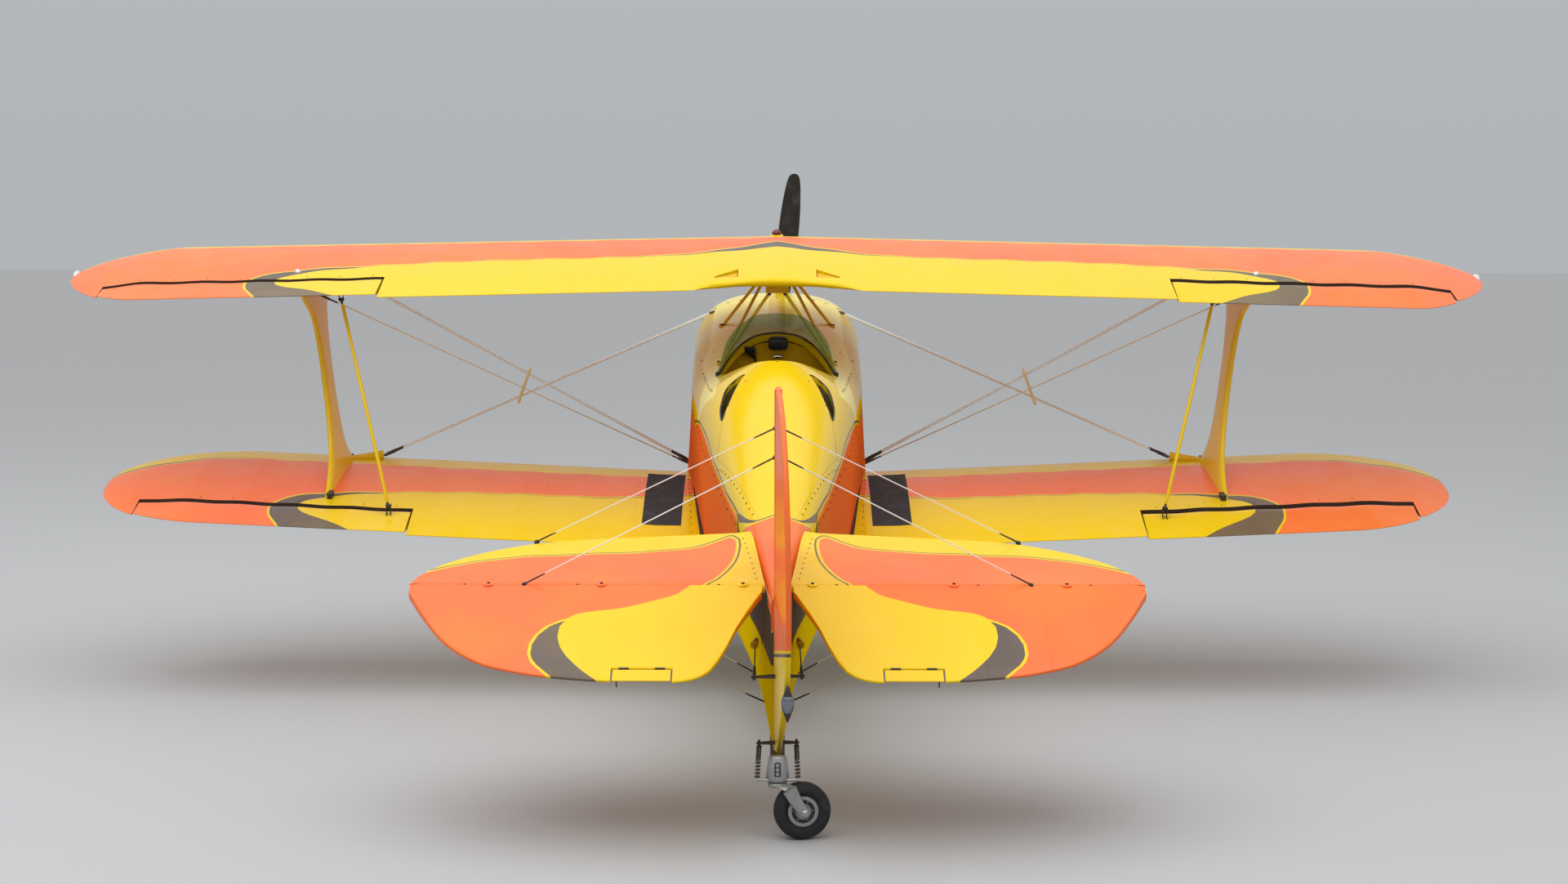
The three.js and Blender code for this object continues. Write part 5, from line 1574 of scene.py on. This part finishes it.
def makeTailwheel():
    crown, trail, half = tailWheel["crown"], tailWheel["trail"], tailWheel["width"] / 2
    spring = Gather()
    for k, (start, thick) in enumerate(((-2960, 7), (-3080, 6), (-3200, 6))):
        line = [(start, -905 + 4 * k), (-3300, -899 - 6.5 * k), (-3450, -868 - 6 * k), (-3604, -838 - 5 * k)]
        spring.bar([((0, y, z), 44 - 2 * k, thick) for y, z in smoothLine(line, 4)], (1, 0, 0), 16)
    settle(spring.piece("leafSpring", darkSteel), "airframe", "steel", "tail_spring")
    bracket, dark = Gather(), Gather()
    bracket.bar([((0, 10, crown + 14), 60, 54), ((0, 10, crown + 20), 66, 56), ((0, 11, crown + 50), 60, 50),
                 ((0, 12, crown + 80), 52, 42), ((0, 12, crown + 84), 46, 36)], (1, 0, 0), 32)
    for side in (1, -1):
        bracket.bar([((side * 20, 0, crown + 19), 18, 9), ((side * 61, 0, crown + 19), 13, 8)], (0, 1, 0), 16)
    # A black bar on the bracket's face stands in for the shade inside its slot: painted shade.
    dark.bar([((0, -15.5, crown + 30), 15, 6), ((0, -14.5, crown + 34), 19, 6),
              ((0, -10.5, crown + 66), 18, 6), ((0, -10, crown + 70), 12, 6)], (1, 0, 0), 20)
    settle(dark.piece("bracketSlotShade", blackRubber, place=levelFrame @ standing), "airframe", "grip")
    for k in range(3):
        bracket.turned([(0, 0), (5.5, 0), (6, 2), (5, 4), (0, 4.5)],
                       (0, -16 + 1.6 * k, crown + 38 + 12 * k), (0, -1, 0), 16)
    settle(bracket.piece("tailwheelBracket", casting, place=levelFrame @ standing), "airframe", "casting",
           "tailwheel_bracket")
    arm = -half - 14
    fork = Gather()
    fork.turned([(0, crown), (24, crown), (28, crown + 3), (28, crown + 9), (24, crown + 12),
                 (0, crown + 12)], (0, 0, 0), (0, 0, 1), 36)
    fork.bar([((-10, -4, crown + 6), 48, 11), ((-26, -14, crown + 5), 46, 12),
              ((arm, -30, crown + 1), 44, 14)], (0, 1, 0), 20)
    fork.bar([((arm, -26, crown), 42, 14), ((arm, -44, crown - 34), 36, 15), ((arm, -62, crown - 62), 30, 15),
              ((arm, -trail, 0), 34, 14), ((arm, -trail - 2, -12), 20, 12)], (0, 1, 0), 20)
    fork.rod((arm - 8, -trail, 0), (half, -trail, 0), 9, 20)
    fork.turned([(0, 0), (12, 0), (13, 3), (8, 8), (0, 9)], (arm - 7, -trail, 0), (-1, 0, 0), 6)
    settle(fork.piece("tailwheelFork", casting, place=levelFrame @ swivelled), "tailwheel_swivel", "casting",
           "tailwheel_fork")
    place = swivelled @ Matrix.Translation((0, -trail, 0))
    makeWheel("tail", "tailwheel_tyre", "tailwheel_hub", "tailwheel", tailWheel, place)


makeTailwheel()
print("tailwheel made")


# Tail fittings: brace wires, horns, cables, lamp, hinges

brace = dict(
    radius=1.8, fin=[(-2950, -6), (-3250, -14)], stab=[(735, -2780), (735, -3200)],
    low=[(68, -2680, -868), (40, -2950, -862)],
)


def makeBraceWires():
    wires, ends = Gather(), Gather()
    for side in (1, -1):
        for (finY, finZ), (x, y), low in zip(brace["fin"], brace["stab"], brace["low"]):
            runs = (((side * 11, finY, finZ), (side * x, y, tail["z"] + 16)),
                    ((side * low[0], low[1], low[2]), (side * x, y, tail["z"] - 16)))
            for a, b in runs:
                run = (Vector(b) - Vector(a)).normalized()
                wires.rod(a, b, brace["radius"], 8)
                for point, way in ((Vector(a), run), (Vector(b), -run)):
                    ends.bar([(point - way * 4, 6, 4), (point + way * 12, 8, 5), (point + way * 46, 6, 5),
                              (point + way * 70, 3.8, 3.8)], (0, 1, 0), 10)
                ends.rod(Vector(b) - Vector((0, 9, 0)), Vector(b) + Vector((0, 9, 0)), 4, 10)
            ends.bar([((side * x, y, tail["z"] + rise), 26, 16) for rise in (-17, 17)], (0, 1, 0), 12)
    for finY, finZ in brace["fin"]:
        ends.rod((-15, finY, finZ), (15, finY, finZ), 6, 14)
    settle(wires.piece("braceWires", skyTintWire), "airframe", "steel")
    settle(ends.piece("braceEnds", darkSteel), "airframe", "steel")


def helix(shape, a, b, radius, wireRadius, turns, sides=6):
    a, b = Vector(a), Vector(b)
    run = (b - a).normalized()
    side = run.orthogonal().normalized()
    other = run.cross(side)
    count = turns * 10
    points = []
    for i in range(count + 1):
        t = i / count
        angle = 2 * math.pi * turns * t
        out = side * math.cos(angle) + other * math.sin(angle)
        for k in range(sides):
            turn = 2 * math.pi * k / sides
            ripple = run * wireRadius * math.sin(turn)
            points.append(a + (b - a) * t + out * (radius + wireRadius * math.cos(turn)) + ripple)
    shape.add(points, loftFaces(count + 1, sides))


def makeRudderFittings():
    pose = rudderPose()
    hinge = upright["rudderHinge"]
    horns = Gather()
    for z, half in ((-640, 77), (-842, 62)):
        for side in (1, -1):
            horns.bar([((0, hinge - 9, z), 34, 8), ((side * (half - 12), hinge - 13, z), 16, 7),
                       ((side * half, hinge - 14, z), 11, 7)], (0, 1, 0), 16)
            horns.rod((side * (half - 8), hinge - 14, z - 8), (side * (half - 8), hinge - 14, z + 10), 4, 12)
    settle(horns.piece("rudderHorns", darkSteel, pose=pose), "rudder", "steel")
    lamp, caps = Gather(), Gather()
    body = [(0, -31), (9, -27), (16, -17), (18.5, 0), (16, 17), (9, 27), (0, 31)]
    lamp.turned([(r, z) for r, z in smoothLine(body, 4)], (0, -3765, -566), (0, -0.06, 1), 28)
    for way in (1, -1):
        caps.turned([(0, 22 * way), (13.5, 22 * way), (9, 34 * way), (4, 50 * way), (0, 56 * way)],
                    (0, -3764, -566), (0, -0.06, 1), 20)
    caps.bar([((0, -3735, -545), 60, 9), ((0, -3752, -570), 60, 9)], (0, 0, 1), 12)
    settle(lamp.piece("tailLamp", smokedChrome, pose=pose), "rudder", "steel")
    settle(caps.piece("tailLampCaps", darkSteel, pose=pose), "rudder", "steel")
    cones = Gather()
    for word, side in sides:
        start, end = (side * 67, -2950, -674), (side * 69, hinge - 14, -640)
        cones.turned([(0, -34), (7, -34), (11, 0), (13, 24), (9, 26), (0, 22)], start,
                     (side * 0.1, -1, 0.05), 20)
        cable = Gather()
        turned = tuple(pose @ Vector(end))
        run = [(between(start, turned, t), w, w) for t, w in ((0.7, 4.4), (0.72, 9), (0.9, 9), (0.92, 4.4))]
        cable.bar([(start, 4.4, 4.4), *run, (turned, 5, 5)], (0, 0, 1), 10)
        piece = cable.piece("rudderCable" + word, darkSteel)
        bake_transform(piece)
        top = tuple(pose @ Vector((side * 54, hinge - 14, -846)))
        foot = tuple(standing @ Vector((side * 57, 0, tailWheel["crown"] + 22)))
        link = Gather()
        helix(link, between(top, foot, 0.08), between(top, foot, 0.46), 6, 1.5, 9)
        for t in (0.02, 0.5, 0.6, 0.7, 0.8, 0.9):
            centre = between(top, foot, t + 0.04)
            helix(link, centre - Vector((0, 0, 1)), centre + Vector((0, 0, 1)), 7, 1.7, 1)
        link.rod(top, foot, 1.2, 8)
        piece = link.piece("steeringSpring" + word, darkSteel)
        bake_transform(piece)
    settle(cones.piece("cableGuides", shadedYellow), "airframe", "body_yellow")


def makeTailHinges():
    for name, material, places in (("Yellow", yellowPaint, (101,)), ("Orange", orangePaint, (511, 838))):
        plates, bolts = Gather(), Gather()
        for side in (1, -1):
            for x in places:
                plates.bar([((side * x, -3204, tail["z"] + rise), w, h)
                            for rise, w, h in ((12, 34, 30), (17, 34, 30), (19, 26, 22))], (1, 0, 0), 16)
                bolts.turned([(0, 0), (5, 0), (5, 3), (0, 4)], (side * x, -3204, tail["z"] + 19),
                             (0, 0, 1), 6)
                bolts.turned([(0, 0), (4, 0), (4, 2.5), (0, 3)], (side * (x + 70), -3196, tail["z"] + 12),
                             (0, 0, 1), 10)
        settle(plates.piece("tailHinges" + name, material), "airframe", "tail_cover")
        settle(bolts.piece("tailHingeBolts" + name, darkSteel), "airframe", "steel")
    for word, side in sides:
        knuckles = Gather()
        for x in (325, 425):
            y = tail["hinge"] - tail["tabFront"] - 2
            knuckles.rod((side * (x - 14), y, tail["z"] + 4), (side * (x + 14), y, tail["z"] + 4), 4, 12)
        knuckles.bar([((side * 444, tail["hinge"] - 452, tail["z"] - 4), 14, 4),
                      ((side * 444, tail["hinge"] - 452, tail["z"] - 30), 10, 4)], (0, 1, 0), 10)
        settle(knuckles.piece("tabHinges" + word, darkSteel, pose=elevatorPose()), "elevators", "steel")


makeBraceWires()
makeRudderFittings()
makeTailHinges()
print("tail fittings made")


# Wing fittings: walkways, root gaps, lights, hand-hold plates

walkway = dict(inner=352, outer=496, front=-650, rear=-1206, lift=0.6, thick=1.2)


def wingSheet(name, material, slotName, side, strip, rows=40, columns=6, thick=1.2):
    rings = []
    for i in range(rows + 1):
        y, inner, outer = strip(i / rows)
        top, low = [], []
        for k in range(columns + 1):
            x = inner + (outer - inner) * k / columns
            share = (lower["lead"] - y) / lower["chord"]
            point = surfacePoint(lower, x, side, share, 1)
            top.append(point + (0, 0, walkway["lift"] + thick))
            low.append(point - (0, 0, 2))
        rings.append([*top, *reversed(low)])
    shape = addPiece(name, *lofted(rings), material, sharp=60)
    settle(shape, "airframe", slotName)


def walkwayStrip(t):
    y = walkway["front"] + (walkway["rear"] - walkway["front"]) * t
    return y, walkway["inner"], walkway["outer"]


def rootStrip(t):
    y = -800 + (-1384 + 800) * t
    row = station(y)
    low = (-840 - row[1]) / (row[3] - row[1])
    wall = row[2] + (row[4] - row[2]) * low
    return y, wall - 1, wall + 3 + 15 * t


def makeWingFittings():
    lights, lens = Gather(), Gather()
    for word, side in sides:
        wingSheet("walkway" + word, grit, "grip", side, walkwayStrip)
        wingSheet("rootGap" + word, sealAndGapShade, "grip", side, rootStrip, 24, 2, 0.6)
        tip = Vector((side * 2636, -690, 2))
        for shape, rows in ((lights, ((4, -48, 6, 6), (5, -20, 24, 26), (6, 4, 30, 30), (6, 12, 28, 28))),
                            (lens, ((6, 10, 26, 26), (7, 26, 22, 22), (7, 38, 12, 12), (7, 41, 4, 4)))):
            shape.bar([(tip + Vector((side * x, y, 0)), w, h) for x, y, w, h in rows], (1, 0, 0), 20)
        cap = surfacePoint(upper, 1785, side, 0.67, 1)
        lights.turned([(0, -2), (12, -2), (12, 3), (8, 9), (4, 12), (0, 13)], tuple(cap), (0, 0, 1), 20)
    top = float(surfacePoint(upper, 0, 1, 0.07, 1)[2])
    base, dome = Gather(), Gather()
    base.turned([(0, -6), (26, -6), (26, 5), (22, 8), (0, 8)], (-2, -64, top), (0, 0, 1), 32)
    dome.turned([(0, 8), (19, 8), (19, 14), (16, 21), (9, 27), (0, 29)], (-2, -64, top), (0, 0, 1), 32)
    settle(lights.piece("tipLamps", stainless), "airframe", "steel")
    settle(lens.piece("tipLampLenses", chrome), "airframe", "steel")
    settle(base.piece("beaconBase", yellowPaint), "airframe", "body_yellow")
    settle(dome.piece("beacon", redLens), "airframe", "grip")
    rim = Gather()                                 # dark-gold plates in the hand holds: painted shade of the slots
    for side in (1, -1):
        rim.add([(side * x, y, z) for z in (12, 20) for x, y in ((150, -703), (150, -789), (229, -811))],
                [(0, 1, 2), (3, 5, 4), (0, 3, 4, 1), (1, 4, 5, 2), (2, 5, 3, 0)])
    settle(rim.piece("handHoldShadePlates", shadedYellow), "airframe", "body_yellow")


makeWingFittings()
print("wing fittings made")


# Cockpit

cockpit = dict(panelFace=-518, dials=[(-150, -440, 34), (-72, -440, 38), (72, -440, 38), (150, -440, 34)])


def superBox(shape, centre, size, power=4.0, rows=14, sides=32):
    points = []
    for i in range(rows + 1):
        lean = math.pi * (i / rows - 0.5)
        level = math.copysign(abs(math.sin(lean)) ** (2 / power), math.sin(lean))
        wide = max(0.02, abs(math.cos(lean)) ** (2 / power))
        for k in range(sides):
            angle = 2 * math.pi * k / sides
            c, s = (math.copysign(abs(v) ** (2 / power), v) for v in (math.cos(angle), math.sin(angle)))
            points.append((centre[0] + size[0] / 2 * wide * c, centre[1] + size[1] / 2 * wide * s,
                           centre[2] + size[2] / 2 * level))
    shape.add(points, loftFaces(rows + 1, sides))


def makeCockpit():
    dark, rings, faces = Gather(), Gather(), Gather()
    y = cockpit["panelFace"]
    for x, z, radius in cockpit["dials"]:
        rings.turned([(radius - 4, 1), (radius - 3, -6), (radius, -6), (radius + 2, -3), (radius + 2, 1),
                      (radius - 4, 1)], (x, y, z), (0, 1, 0), 36)
        dark.turned([(0, 0), (radius - 3, 0), (radius - 3, -2), (0, -2)], (x, y, z), (0, 1, 0), 36)
        tipPoint = (x + radius * 0.4, y - 3, z + radius * 0.55)
        faces.bar([((x, y - 3, z), 4, 1.4), (tipPoint, 1.2, 1.2)], (1, 0, 0), 8)
    superBox(dark, (4, y - 26, -290), (76, 50, 50))
    dark.bar([((-127, y - 30, -303), 8, 6), ((-104, y - 30, -316), 50, 7), ((-84, y - 22, -352), 10, 7),
              ((-82, y, -368), 8, 7)], (1, 0, 0.4), 14)
    superBox(rings, (2, y - 12, -346), (42, 20, 18), 2.5)
    settle(dark.piece("instruments", blackRubber), "airframe", "grip")
    settle(rings.piece("instrumentRings", chrome), "airframe", "steel")
    settle(faces.piece("instrumentHands", yellowPaint), "airframe", "body_yellow")
    for name, centre, size, lean in (("seatCushion", (0, -985, -828), (350, 350, 48), 0.0),
                                     ("backCushion", (0, -1190, -640), (300, 54, 400), 0.27)):
        pad = Gather()
        superBox(pad, (0, 0, 0), size, 3.4, 24, 64)
        turned = Matrix.Translation(centre) @ Matrix.Rotation(lean, 4, "X")
        piece = pad.piece(name, leather, pose=turned, sharp=80)
        settle(piece, "airframe", "upholstery")
    straps = Gather()
    for side in (1, -1):
        line = [(side * x, y, z)
                for x, y, z in ((70, -1262, -430), (68, -1212, -470), (72, -1150, -620), (80, -1090, -780))]
        straps.bar([(tuple(p), 44, 3) for p in smoothLine(line, 6)], (1, 0, 0), 12)
    settle(straps.piece("harness", webbing), "airframe", "upholstery")
    stick = Gather()
    stick.bar([((0, -700, -894), 24, 24), ((0, -722, -730), 22, 22), ((0, -741, -590), 22, 22)], sides=24)
    stick.bar([((0, -739, -600), 30, 30), ((0, -744, -570), 35, 35), ((0, -750, -530), 31, 31),
               ((0, -756, -490), 35, 35), ((0, -758, -480), 22, 22)], sides=24)
    settle(stick.piece("controlStick", blackRubber), "airframe", "grip", "control_stick")
    darkSheets, trims = Gather(), Gather()               # dark sheets under the crescent openings beside the headrest
    for side in (1, -1):
        outline = smoothLine([(side * x, y) for x, y in fuselage["crescent"]], 4, closed=True)
        ring = [(x, y, deckZ(x, y) - 16) for x, y in outline]
        count = len(ring)
        walls = [(i, (i + 1) % count, (i + 1) % count + count, i + count) for i in range(count)]
        caps = [tuple(range(count)), tuple(range(2 * count - 1, count - 1, -1))]
        darkSheets.add([*ring, *((x, y, z - 6) for x, y, z in ring)], [*caps, *walls])
        edge = [(x, y, deckZ(x, y) + 0.5) for x, y in outline[: count * 6 // 9]]
        for a, b in zip(edge, edge[1:]):
            trims.rod(a, b, 3.2, 8)
    settle(darkSheets.piece("crescentDarkSheets", blackRubber, sharp=60), "airframe", "grip")
    settle(trims.piece("crescentTrim", blackRubber), "airframe", "grip")


makeCockpit()
print("cockpit made")


# Screws, placed by Geometry Nodes on a mesh of points that each carry the way they face

def screwTree():
    tree = bpy.data.node_groups.new("screwHeads", "GeometryNodeTree")
    tree.interface.new_socket("Points", in_out="INPUT", socket_type="NodeSocketGeometry")
    tree.interface.new_socket("Head radius", in_out="INPUT", socket_type="NodeSocketFloat")
    tree.interface.new_socket("Finish", in_out="INPUT", socket_type="NodeSocketMaterial")
    tree.interface.new_socket("Screws", in_out="OUTPUT", socket_type="NodeSocketGeometry")
    start, end = tree.nodes.new("NodeGroupInput"), tree.nodes.new("NodeGroupOutput")
    head = addNode(tree, "GeometryNodeMeshUVSphere")
    head.inputs["Segments"].default_value, head.inputs["Rings"].default_value = 10, 5
    flat = addNode(tree, "GeometryNodeTransform")
    flat.inputs["Scale"].default_value = (1, 1, 0.45)
    facing = addNode(tree, "GeometryNodeInputNamedAttribute", data_type="FLOAT_VECTOR")
    facing.inputs["Name"].default_value = "facing"
    align = addNode(tree, "FunctionNodeAlignRotationToVector", axis="Z")
    place = addNode(tree, "GeometryNodeInstanceOnPoints")
    whole, dressed = addNode(tree, "GeometryNodeRealizeInstances"), addNode(tree, "GeometryNodeSetMaterial")
    for a, output, b, entry in (
            (start, "Head radius", head, "Radius"), (head, "Mesh", flat, "Geometry"),
            (start, "Points", place, "Points"), (flat, "Geometry", place, "Instance"),
            (facing, "Attribute", align, "Vector"), (align, "Rotation", place, "Rotation"),
            (place, "Instances", whole, "Geometry"), (whole, "Geometry", dressed, "Geometry"),
            (start, "Finish", dressed, "Material"), (dressed, "Geometry", end, "Screws")):
        tree.links.new(a.outputs[output], b.inputs[entry])
    return tree


def makeScrews(name, tree, spots, radius, material, body="airframe"):
    mesh = bpy.data.meshes.new(name)
    mesh.from_pydata([tuple(levelFrame @ Vector(point)) for point, _ in spots], [], [])
    turn = levelFrame.to_3x3().normalized()
    facing = mesh.attributes.new("facing", "FLOAT_VECTOR", "POINT")
    ways = [(turn @ Vector(way).normalized())[:] for _, way in spots]
    facing.data.foreach_set("vector", np.array(ways).ravel())
    piece = addObject(name, mesh)
    nodes = piece.modifiers.new("screws", "NODES")
    nodes.node_group = tree
    inputs = {item.name: item.identifier for item in tree.interface.items_tree if item.in_out == "INPUT"}
    nodes[inputs["Head radius"]] = radius / 1000
    nodes[inputs["Finish"]] = material
    piece.data = evaluatedMesh(piece)
    piece.modifiers.clear()
    piece.data.shade_smooth()
    return settle(piece, body, "steel")


def deckSpot(x, y):
    reach = 4
    slopeX = (deckZ(x + reach, y) - deckZ(x - reach, y)) / (2 * reach)
    slopeY = (deckZ(x, y + reach) - deckZ(x, y - reach)) / (2 * reach)
    return (x, y, deckZ(x, y) + 0.4), (-slopeX, -slopeY, 1)


def screwSpots():
    spots = [deckSpot(side * x, y) for side in (1, -1) for x, y in ((112, -1335), (172, -1492))]
    spots.append(deckSpot(0, -1168))
    for x in range(-300, 301, 50):                 # firewall seam, instrument panel seam
        spots += [deckSpot(x, 88), deckSpot(x * 0.98, -488 if abs(x) > 90 else -470)]
    line = np.array(fuselage["hump"][-2:], float)
    for side in (1, -1):
        for k in range(14):                        # edges of the turtledeck and of the cockpit side
            x, y = line[0] + (line[1] - line[0]) * k / 14
            spots.append(deckSpot(side * (x + 8), y))
        for k in range(10):
            spots.append(deckSpot(side * (282 - 5 * k), -640 - 55 * k))
        for y in range(60, -2400, -90):            # along the longerons
            row = station(y)
            spots.append(((side * (row[4] + 0.4), y, row[3] - 14), (side, 0, 0.05)))
    return spots


def wingSpots():
    spots = []
    for side in (1, -1):
        for k in range(12):                        # root strip of each lower wing, stabiliser roots
            share = 0.2 + 0.065 * k
            point = surfacePoint(lower, 342 - 3 * k, side, share, 1)
            spots.append((tuple(point), (0, 0, 1)))
        for k in range(9):
            y = -2740 - 50 * k
            spots.append(((side * (station(y)[4] + 26), y, tail["z"] + 14), (0, 0, 1)))
        for x in range(1500, 2460, 120):           # gap strips ahead of the ailerons
            for wing, out in ((upper, x), (lower, x - 100))[:2 if x < 2300 else 1]:
                point = surfacePoint(wing, out, side, hingeShare(wing, out, 34), 1)
                spots.append((tuple(point), (0, 0, 1)))
    return spots


screws = screwTree()
makeScrews("deckScrews", screws, screwSpots(), 3.6, darkSteel)
makeScrews("wingScrews", screws, wingSpots(), 3.2, darkSteel)
print("screws made")


# Finishes for the frame's nodes that stay

nodeFinish = dict(
    engine_block=engineMetal, exhaust_right=stainless, exhaust_left=stainless,
    instrument_panel=shadedYellow, seat=leather,
)
for nodeName, material in nodeFinish.items():
    node = frame["nodes"][nodeName]
    node.data.materials.clear()
    node.data.materials.append(material)


# Studio

studio = dict(
    floor=(0.40, 0.41, 0.42), worn=(0.36, 0.37, 0.38), reach=60000,
    world=0.86, key=800, keyHigh=9, keySize=14,
)


def makeStudio():
    reach = studio["reach"]
    corners = [(-reach, -reach, 0), (reach, -reach, 0), (reach, reach, 0), (-reach, reach, 0)]
    floorMaterial, tree, shader = newMaterial("floorMaterial")
    patches = step(tree, noise(tree, 0.6, 4), 0.3, 0.7, 0, 0.1)
    tone = mixColour(tree, patches, studio["floor"], studio["worn"])
    tree.links.new(tone, shader.inputs["Base Color"])
    shader.inputs["Roughness"].default_value = 0.6
    floor = addPiece("floor", corners, [(0, 1, 2, 3)], floorMaterial, place=Matrix.Scale(0.001, 4))
    world = bpy.data.worlds.new("world")
    world.use_nodes = True
    scene.world = world
    tree = world.node_tree
    background = tree.nodes["Background"]
    background.inputs["Strength"].default_value = studio["world"]
    direction = addNode(tree, "ShaderNodeTexCoord").outputs["Object"]
    split = addNode(tree, "ShaderNodeSeparateXYZ")
    tree.links.new(direction, split.inputs[0])
    ramp = addNode(tree, "ShaderNodeValToRGB")
    tree.links.new(step(tree, split.outputs["Z"], 0.0, 0.7), ramp.inputs[0])
    ramp.color_ramp.elements[0].color = (0.52, 0.54, 0.56, 1)
    ramp.color_ramp.elements[1].color = (1.1, 1.1, 1.1, 1)
    tree.links.new(ramp.outputs["Color"], background.inputs["Color"])
    light = bpy.data.lights.new("key", "AREA")
    light.shape = "DISK"
    light.size = studio["keySize"]
    light.energy = studio["key"]
    key = addObject("key", light)
    key.location = (-2, -3, studio["keyHigh"])
    scene.view_settings.view_transform = "Standard"


makeStudio()
print("studio made")
